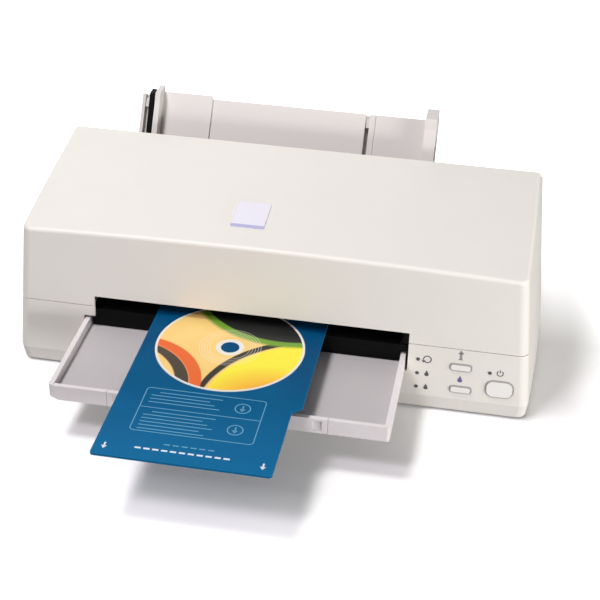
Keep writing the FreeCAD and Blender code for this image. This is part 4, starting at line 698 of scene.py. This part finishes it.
def coil(centre, radius, wire, length, turns, sides, steps=12):
    # Helix tube along X: its middle line is radius times (cos a, sin a), moving evenly along, and the wire's ring
    # stands on the line's own normals.
    turn = np.linspace(0.0, 2.0 * np.pi * turns, int(steps * turns) + 1)
    along = np.linspace(-length / 2.0, length / 2.0, len(turn))
    middle = np.stack([along, radius * np.cos(turn), radius * np.sin(turn)], -1)
    outward = np.stack([np.zeros_like(turn), np.cos(turn), np.sin(turn)], -1)
    run = np.gradient(middle, axis=0)
    run /= np.linalg.norm(run, axis=1)[:, None]
    across = np.cross(run, outward)
    ring = np.linspace(0.0, 2.0 * np.pi, sides, endpoint=False)
    points = middle[:, None] + wire * (np.cos(ring)[None, :, None] * outward[:, None]
                                       + np.sin(ring)[None, :, None] * across[:, None])
    return points.reshape(-1, 3) + np.array(centre), tubeFaces(len(turn), sides)


# Marks on the control panel

def printInk(name, colour, roughness=0.5, **more):
    # Smooth thin ink of a printed mark.
    moulded(name, colour, roughness, grainSize=0.0003, bump=0.02, **more)


printInk("markGrey", (0.10, 0.095, 0.11))
printInk("arrowGrey", (0.34, 0.33, 0.31))
printInk("markViolet", (0.16, 0.13, 0.30))

# Places and lengths are in metres and arcs in degrees. Names that end in Line are shares of the line's width, and
# arrowStemTo and arrowHeadFrom are shares of half the arrow's height.
panelMarks = {
    "lift": 0.00004, "thick": 0.00005, "line": 0.0008,
    "sheetRing": (0.1315, 0.0510), "ringRadius": 0.0031, "ringArc": (-130, 195), "ringLine": 1.15,
    "ringHead": ((-0.0014, -0.0010), (0.0020, -0.0014), (-0.0002, -0.0036)),
    "drops": ((0.1318, 0.0374), (0.1318, 0.0242)), "dropSize": 0.0060,
    "feedArrow": (0.1583, 0.0590), "arrowHeight": 0.0090, "arrowLine": 2.6,
    "arrowFoot": 0.0017, "arrowHead": 0.0026, "arrowStemTo": 0.4, "arrowHeadFrom": 0.2,
    "cleanDrop": (0.1590, 0.0356), "cleanSize": 0.0068,
    "power": (0.1908, 0.0456), "powerRadius": 0.0025, "powerArc": (125, 415), "stemFrom": 0.0004, "stemPast": 0.0007,
}


def makePanelMarks():
    # Printed signs beside the lamps and buttons: a ring with an arrow head, drops, an arrow and the mains sign.
    marks = panelMarks
    base = printer["frontY"] - marks["lift"] - marks["thick"]

    def line(path, width, look):
        return (*strip(path, width, base, marks["thick"], "XZ"), look)

    def filled(path, look):
        return (*plate(path, base, marks["thick"], "XZ"), look)

    x, z = marks["sheetRing"]
    radius = marks["ringRadius"]
    head = linePath(*((x - radius + right, z + up) for right, up in marks["ringHead"]))
    shapes = [line(arcPath((x, z), radius, *marks["ringArc"]), marks["line"] * marks["ringLine"], 0), filled(head, 0)]
    shapes += [filled(dropPath(spot, marks["dropSize"]), 0) for spot in marks["drops"]]
    x, z = marks["feedArrow"]
    tall, foot, half = marks["arrowHeight"] / 2.0, marks["arrowFoot"], marks["arrowHead"]
    neck = z + tall * marks["arrowHeadFrom"]
    stem = linePath((x, z - tall), (x, z + tall * marks["arrowStemTo"]))
    shapes += [line(stem, marks["line"] * marks["arrowLine"], 2),
               line(linePath((x - foot, z - tall), (x + foot, z - tall)), marks["line"], 2),
               filled(linePath((x - half, neck), (x + half, neck), (x, z + tall)), 2),
               filled(dropPath(marks["cleanDrop"], marks["cleanSize"]), 1)]
    x, z = marks["power"]
    radius = marks["powerRadius"]
    stem = linePath((x, z + marks["stemFrom"]), (x, z + radius + marks["stemPast"]))
    shapes += [line(arcPath((x, z), radius, *marks["powerArc"]), marks["line"], 0), line(stem, marks["line"], 0)]
    makePiece("panelMarks", shapes, ["markGrey", "markViolet", "arrowGrey"], "case")


makePanelMarks()


# Print on the carrier

printInk("paleInk", (0.12, 0.36, 0.52), 0.45, tint=0.2, tintSize=0.01)
printInk("whiteInk", (0.70, 0.78, 0.84), 0.45, tint=0.2, tintSize=0.01)

carrierPrint = {
    "left": -0.0738, "right": 0.0192, "rear": -0.1238, "front": -0.1776, "middle": -0.1484,   # frame, in X and Y
    "corner": 0.003, "line": 0.0007, "thick": 0.00005,
    "signX": 0.0030, "signRadius": 0.0058, "signLine": 1.2,
    "signArrow": {"tail": 0.0034, "stem": 0.0020, "half": 0.0022, "base": 0.0006, "tip": 0.0040, "wide": 1.5},
    "rulesLeft": -0.0688, "rulesRight": -0.0140, "ruleStep": 0.0042, "rulesTop": 0.0050, "rulesBottom": 0.0030,
    "ruleIndent": 0.006, "ruleShorter": 0.0045, "ruleLine": 1.15, "bandLine": 2.6, "rowLine": 1.5,
    "bandY": -0.1974, "bandLeft": -0.0640, "bandRight": 0.0125, "bandDash": 0.0046, "bandGap": 0.0020,
    "rowY": -0.1902, "rowLeft": -0.0440, "rowRight": -0.0040,
    "cornerMarks": ((-0.0862, -0.1995), (0.0317, -0.2005)),
    "cornerArrow": {"tail": 0.0036, "stem": 0.0006, "half": 0.0022, "base": 0.0002, "tip": 0.0036, "wide": 1.9},
}


def makeCarrierPrint():
    # Pale print on the blue sheet: a divided frame, ruled rows, two round signs with an arrow, and a dashed band
    # that shows which end goes in, all as thin bands on the sheet.
    ink = carrierPrint
    level, thick, line = printer["carrierTop"], ink["thick"], ink["line"]

    def band(path, width, look, closed=False):
        return (*strip(path, width, level, thick, "XY", closed), look)

    def arrow(x, y, look, tail, stem, half, base, tip, wide):
        # A stem and a head that points to the front.
        head = linePath((x - half, y - base), (x + half, y - base), (x, y - tip))
        return [band(linePath((x, y + tail), (x, y - stem)), line * wide, look),
                (*plate(head, level, thick, "XY"), look)]

    outline = roundedPath(ink["left"], ink["right"], ink["front"], ink["rear"], ink["corner"])
    shapes = [band(outline, line, 0, True),
              band(linePath((ink["left"], ink["middle"]), (ink["right"], ink["middle"])), line, 0)]
    for top, bottom in ((ink["rear"], ink["middle"]), (ink["middle"], ink["front"])):
        rows = np.arange(top - ink["rulesTop"], bottom + ink["rulesBottom"], -ink["ruleStep"])
        for i, y in enumerate(rows):
            start = ink["rulesLeft"] + (ink["ruleIndent"] if i == 0 else 0.0)
            end = ink["rulesRight"] - ink["ruleShorter"] * ((i * 5) % 3)
            shapes.append(band(linePath((start, y), (end, y)), line * ink["ruleLine"], 0))
        x, y = ink["signX"], (top + bottom) / 2.0
        ring = arcPath((x, y), ink["signRadius"], 0, 360, 33)[:-1]
        shapes += [band(ring, line * ink["signLine"], 0, True), *arrow(x, y, 0, **ink["signArrow"])]
    dash, step = ink["bandDash"], ink["bandDash"] + ink["bandGap"]
    for name, look in (("band", 1), ("row", 0)):
        y = ink[name + "Y"]
        for x in np.arange(ink[name + "Left"], ink[name + "Right"] - dash, step):
            shapes.append(band(linePath((x, y), (x + dash, y)), line * ink[name + "Line"], look))
    for x, y in ink["cornerMarks"]:
        shapes += arrow(x, y, 1, **ink["cornerArrow"])
    makePiece("carrierPrint", shapes, ["paleInk", "whiteInk"], "carrier")


makeCarrierPrint()
print("printed marks done")


# Marks inside the printer

moulded("dotBlack", (0.015, 0.015, 0.016), 0.4)
moulded("dotTeal", (0.02, 0.22, 0.30), 0.4)
moulded("dotPlum", (0.34, 0.04, 0.16), 0.4)
moulded("dotAmber", (0.62, 0.42, 0.03), 0.4)
moulded("labelPaper", (0.62, 0.62, 0.60), 0.6, grainSize=0.0003, bump=0.03)
metal("zincScrew", (0.55, 0.54, 0.50), 0.3, stretch=(1.0, 1.0, 1.0))

latchMarks = {"back": 0.0105, "tall": 0.013, "corner": 0.0015, "widthShare": 0.32, "sunk": 0.0004, "dot": 0.0022,
              "dotSpread": 0.66, "thick": 0.0001}


def makeLatchMarks(name, node, body, dots):
    # Blank label with a row of colour dots on a cartridge latch, so that the two holders are told apart.
    marks = latchMarks
    low, high = corners(node)
    middle, level, thick = (low[0] + high[0]) / 2.0, float(high[2]), marks["thick"]
    front = float(low[1]) + marks["back"]
    half = float(high[0] - low[0]) * marks["widthShare"]
    sheet = roundedPath(middle - half, middle + half, front, front + marks["tall"], marks["corner"])
    shapes = [(*plate(sheet, level - marks["sunk"], thick + marks["sunk"], "XY"), 0)]
    for i in range(len(dots)):
        x = middle + (i - (len(dots) - 1) / 2.0) * (half * marks["dotSpread"])
        disc = arcPath((x, front + marks["tall"] / 2.0), marks["dot"], 0, 360, 25)[:-1]
        shapes.append((*plate(disc, level + thick, thick, "XY"), i + 1))
    makePiece(name, shapes, ["labelPaper", *dots], body)


makeLatchMarks("blackLatchMarks", "black_latch", "latch_black", ["dotBlack"])
makeLatchMarks("colourLatchMarks", "colour_latch", "latch_colour", ["dotTeal", "dotPlum", "dotAmber"])

# Screws, springs and board parts

# The dome's profile and the cross are shares of the head's radius and height.
beamScrews = {
    "radius": 0.0029, "high": 0.0016, "slot": 0.0007,
    "dome": ((1.0, 0.0), (1.0, 0.35), (0.86, 0.75), (0.5, 1.0)), "crossReach": 0.62, "crossHigh": 1.04,
    "front": (-0.178, -0.052, 0.074, 0.188), "frontInset": 0.0042,
    "rear": (-0.150, -0.040, 0.060, 0.150), "rearZ": 0.0905,
}


def makeBeamScrews():
    # Pan-head screws on the two beams: a domed profile turned about the screw's axis, with a raised cross.
    screws = beamScrews
    radius, half = screws["radius"], screws["slot"] / 2.0
    reach, crossHigh = radius * screws["crossReach"], screws["high"] * screws["crossHigh"]
    dome = [(radius * across, screws["high"] * up) for across, up in screws["dome"]]
    _, (_, frontY, top) = corners("front_beam")
    y = frontY - screws["frontInset"]
    shapes = []
    for x in screws["front"]:
        shapes.append((*turned(dome, (x, y, top), (0, 0, 1)), 0))
        for wide, deep in ((reach, half), (half, reach)):
            shapes.append((*block((x - wide, y - deep, top), (x + wide, y + deep, top + crossHigh)), 1))
    y, z = corners("rear_beam")[0][1], screws["rearZ"]
    for x in screws["rear"]:
        shapes.append((*turned(dome, (x, y, z), (0, -1, 0)), 0))
        for wide, deep in ((reach, half), (half, reach)):
            shapes.append((*block((x - wide, y - crossHigh, z - deep), (x + wide, y, z + deep)), 1))
    makePiece("beamScrews", shapes, ["zincScrew", "dotBlack"], "case")


makeBeamScrews()

pinchSprings = {"radius": 0.0021, "wire": 0.0004, "turns": 7, "long": 0.0075, "sides": 8, "count": 5, "inset": 0.018,
                "before": 0.0030, "above": 0.0028}


def makePinchSprings():
    # Coil spring at the root of each pinch arm: a helix tube along X, as long as the gap beside the arm.
    spring = pinchSprings
    low, high = corners("pinch_arms")
    y, z = high[1] - spring["before"], high[2] + spring["above"]
    shape = [spring[key] for key in ("radius", "wire", "long", "turns", "sides")]
    shapes = [(*coil((x, y, z), *shape), 0)
              for x in np.linspace(low[0] + spring["inset"], high[0] - spring["inset"], spring["count"])]
    makePiece("pinchSprings", shapes, ["polishedSteel"], "case", smooth=True)


makePinchSprings()

# Places are shares of the board, profiles are shares of a can's radius and height, and the rest is in metres.
boardFittings = {
    "cans": ((0.14, 0.80, 0.0050, 0.012), (0.30, 0.82, 0.0040, 0.009), (0.86, 0.78, 0.0045, 0.010)),
    "sleeve": ((1.0, 0.0), (1.0, 0.08), (0.94, 0.12), (1.0, 0.16), (1.0, 0.94), (0.92, 1.0)),
    "cap": ((0.8, 0.0), (0.8, 1.01)), "canSides": 24,
    "chips": ((0.12, 0.48, 0.012, 0.008), (0.16, 0.12, 0.010, 0.006), (0.84, 0.50, 0.014, 0.007)), "chipHigh": 0.0020,
    "pinStep": 0.0018, "pinHalf": 0.0003, "pinOut": 0.0012, "pinHigh": 0.0005, "pinsFrom": 0.0012, "pinsTo": 0.0006,
    "sockets": ((0.06, 0.30, 0.020), (0.93, 0.28, 0.026)), "socketHalf": 0.0028, "socketHigh": 0.0060,
    "slotHalf": 0.0014, "slotInset": 0.001, "slotLow": 0.0055, "slotHigh": 0.0062,
    "boardTop": 0.0106,
}


def makeBoardFittings():
    # Capacitors, small chips and plug sockets on the main board: turned cans with a scored top, and plates.
    fit = boardFittings
    low, high = corners("main_board")
    size, top = high - low, fit["boardTop"]
    shapes = []

    def addBlock(x, y, halfX, halfY, bottom, high, look):
        shapes.append((*block((x - halfX, y - halfY, top + bottom), (x + halfX, y + halfY, top + high)), look))

    for u, v, radius, tall in fit["cans"]:
        spot = (low[0] + u * size[0], low[1] + v * size[1], top)
        for look, profile in enumerate((fit["sleeve"], fit["cap"])):
            rows = [(radius * across, tall * up) for across, up in profile]
            shapes.append((*turned(rows, spot, (0, 0, 1), fit["canSides"]), look))
    for u, v, wide, deep in fit["chips"]:
        x, y = low[0] + u * size[0], low[1] + v * size[1]
        addBlock(x, y, wide / 2, deep / 2, 0.0, fit["chipHigh"], 0)
        for pin in np.arange(x - wide / 2 + fit["pinsFrom"], x + wide / 2 - fit["pinsTo"], fit["pinStep"]):
            addBlock(pin, y, fit["pinHalf"], deep / 2 + fit["pinOut"], 0.0, fit["pinHigh"], 1)
    for u, v, deep in fit["sockets"]:
        x, y = low[0] + u * size[0], low[1] + v * size[1]
        addBlock(x, y, fit["socketHalf"], deep / 2, 0.0, fit["socketHigh"], 2)
        addBlock(x, y, fit["slotHalf"], deep / 2 - fit["slotInset"], fit["slotLow"], fit["slotHigh"], 0)
    makePiece("boardFittings", shapes, ["dotBlack", "zincScrew", "labelPaper"], "case")


makeBoardFittings()

# Pad of the sheet feeder

moulded("gripPad", (0.20, 0.115, 0.06), 0.95, grainSize=0.0009, bump=0.6, tint=0.5, tintSize=0.004)

hopperFace = {"foot": (0.1222, 0.0840), "top": (0.1782, 0.1680), "padX": -0.0215, "padHalf": 0.0037, "padLow": 0.0045,
              "padHigh": 0.0295, "padBack": -0.0008, "padFront": -0.0001}
hopperFace["slope"] = float(np.arctan2(hopperFace["top"][1] - hopperFace["foot"][1],
                                       hopperFace["top"][0] - hopperFace["foot"][0]))


def onHopper(x, up, out):
    # A point beside the hopper's face: up along its slope from the foot and out from it to the front.
    along, rise = np.cos(hopperFace["slope"]), np.sin(hopperFace["slope"])
    y, z = hopperFace["foot"]
    return (x, y + up * along - out * rise, z + up * rise + out * along)


def slopingBlock(x0, x1, up0, up1, out0, out1):
    # Box in the hopper's own directions.
    sides = ((x0, out0), (x1, out0), (x1, out1), (x0, out1))
    points = np.array([onHopper(x, up, out) for up in (up0, up1) for x, out in sides])
    return points, gridFaces(2, 4) + [[0, 1, 2, 3], [7, 6, 5, 4]]


def makeGripPad():
    # Cork pad in the hopper's recess, which keeps the last sheets from slipping through together.
    face = hopperFace
    pad = slopingBlock(face["padX"] - face["padHalf"], face["padX"] + face["padHalf"],
                       face["padLow"], face["padHigh"], face["padBack"], face["padFront"])
    makePiece("gripPadCork", [(*pad, 0)], ["gripPad"], "hopper", bevel=0.0002)


makeGripPad()
print("inner pieces done")

# Floor, light and camera

studio = {
    "floorColour": (0.44, 0.44, 0.435), "floorSize": 12.0, "floorRoughness": 0.9, "floorSpecular": 0.1,
    "glowCentre": (0.0, -0.0225, 0.0), "glowHalf": (0.285, 0.1225, 10.0), "glowNear": 0.085, "glowFar": 0.16,
    "glow": 0.9, "seenColour": (0.985, 0.985, 0.975),
    "camera": (0.1892, -1.0007, 0.7247), "yaw": 9.5, "pitch": 32.5, "roll": 1.47, "focal": 1461.0,
    "pictureWidth": 600.0, "sensorWidth": 36.0, "clipEnd": 50.0,
    "skyColour": (1.0, 0.955, 1.0), "skyStrength": 0.23,
    # each light's name, place, aim, size, power and colour
    "lights": (
        ("topBox", (-0.72, -0.42, 2.45), (0.0, 0.0, 0.05), (0.55, 0.45), 30.5, (0.99, 1.0, 0.98)),
        ("keyLight", (-0.66, -1.10, 1.77), (0.0, 0.0, 0.05), (0.40, 0.40), 14.6, (0.98, 0.89, 1.0)),
        ("backFill", (-0.75, 1.9, 1.0), (0.0, 0.1, 0.05), (1.4, 0.8), 8.5, (1.0, 0.99, 0.97)),
        ("rightFill", (1.25, -0.62, 0.13), (0.2, 0.0, 0.12), (0.8, 0.20), 13.2, (1.0, 0.99, 0.98)),
    ),
}


def makeFloor():
    # One plane under the printer, which looks whiter to the camera outside a box round the printer.
    half = studio["floorSize"] / 2.0
    mesh = bpy.data.meshes.new("studioFloor")
    mesh.from_pydata([(-half, -half, 0), (half, -half, 0), (half, half, 0), (-half, half, 0)], [], [(0, 1, 2, 3)])
    floor = addObject("studioFloor", mesh)
    material, tree, shader = blank("floorPaper")
    seen = addNode(tree, "LightPath").outputs["Is Camera Ray"]
    colour = mixColour(tree, seen, studio["floorColour"], studio["seenColour"])
    join(tree, colour, shader.inputs["Base Color"])
    shader.inputs["Roughness"].default_value = studio["floorRoughness"]
    shader.inputs["Specular IOR Level"].default_value = studio["floorSpecular"]
    away = beyondBox(tree, place(tree)[0], studio["glowCentre"], studio["glowHalf"])
    glow = ramp(tree, away, 0.0, studio["glowFar"], studio["glowNear"], 1.0)
    glow = calc(tree, "MULTIPLY", glow, seen)
    join(tree, glow, shader.inputs["Emission Color"])
    shader.inputs["Emission Strength"].default_value = studio["glow"]
    mesh.materials.append(material)


def standing(spot, *axes):
    # World matrix of a thing at a place, whose own X, Y and Z point along three axes.
    return Matrix.Translation(spot) @ Matrix(np.stack(axes, -1).tolist()).to_4x4()


def makeCamera():
    # Camera axes from yaw, pitch and roll, and the lens from a focal length in pixels of the picture's width.
    yaw, pitch, roll = (np.radians(studio[key]) for key in ("yaw", "pitch", "roll"))
    ahead = np.array([-np.sin(yaw) * np.cos(pitch), np.cos(yaw) * np.cos(pitch), -np.sin(pitch)])
    right = np.array([np.cos(yaw), np.sin(yaw), 0.0])
    up = np.cross(right, ahead)
    rolledRight = right * np.cos(roll) + up * np.sin(roll)
    rolledUp = -right * np.sin(roll) + up * np.cos(roll)
    data = bpy.data.cameras.new("mainCamera")
    data.sensor_width = studio["sensorWidth"]
    data.lens = studio["focal"] * data.sensor_width / studio["pictureWidth"]
    data.clip_end = studio["clipEnd"]
    camera = addObject("mainCamera", data)
    camera.matrix_world = standing(studio["camera"], rolledRight, rolledUp, -ahead)
    bpy.context.scene.camera = camera


def addLight(name, spot, aim, size, power, colour):
    # Area light at a place, turned so that it shines at aim.
    data = bpy.data.lights.new(name, "AREA")
    data.shape = "RECTANGLE"
    data.size, data.size_y = size
    data.energy = power
    data.color = colour
    light = addObject(name, data)
    light.visible_camera = False
    back = np.array(spot, float) - np.array(aim, float)
    back /= np.linalg.norm(back)
    side = np.cross((0.0, 0.0, 1.0), back)
    side /= np.linalg.norm(side)
    light.matrix_world = standing(spot, side, np.cross(back, side), back)


makeFloor()
makeCamera()
for light in studio["lights"]:
    addLight(*light)
world = bpy.data.worlds.new("paleRoom")
world.use_nodes = True
roomTree = world.node_tree
sky = roomTree.nodes["Background"]
seen = addNode(roomTree, "LightPath").outputs["Is Camera Ray"]
join(roomTree, mixColour(roomTree, seen, studio["skyColour"], (1.0, 1.0, 1.0)), sky.inputs["Color"])
join(roomTree, calc(roomTree, "MAXIMUM", seen, studio["skyStrength"]), sky.inputs["Strength"])
bpy.context.scene.world = world
bpy.context.scene.view_settings.view_transform = "Standard"
print("studio done")
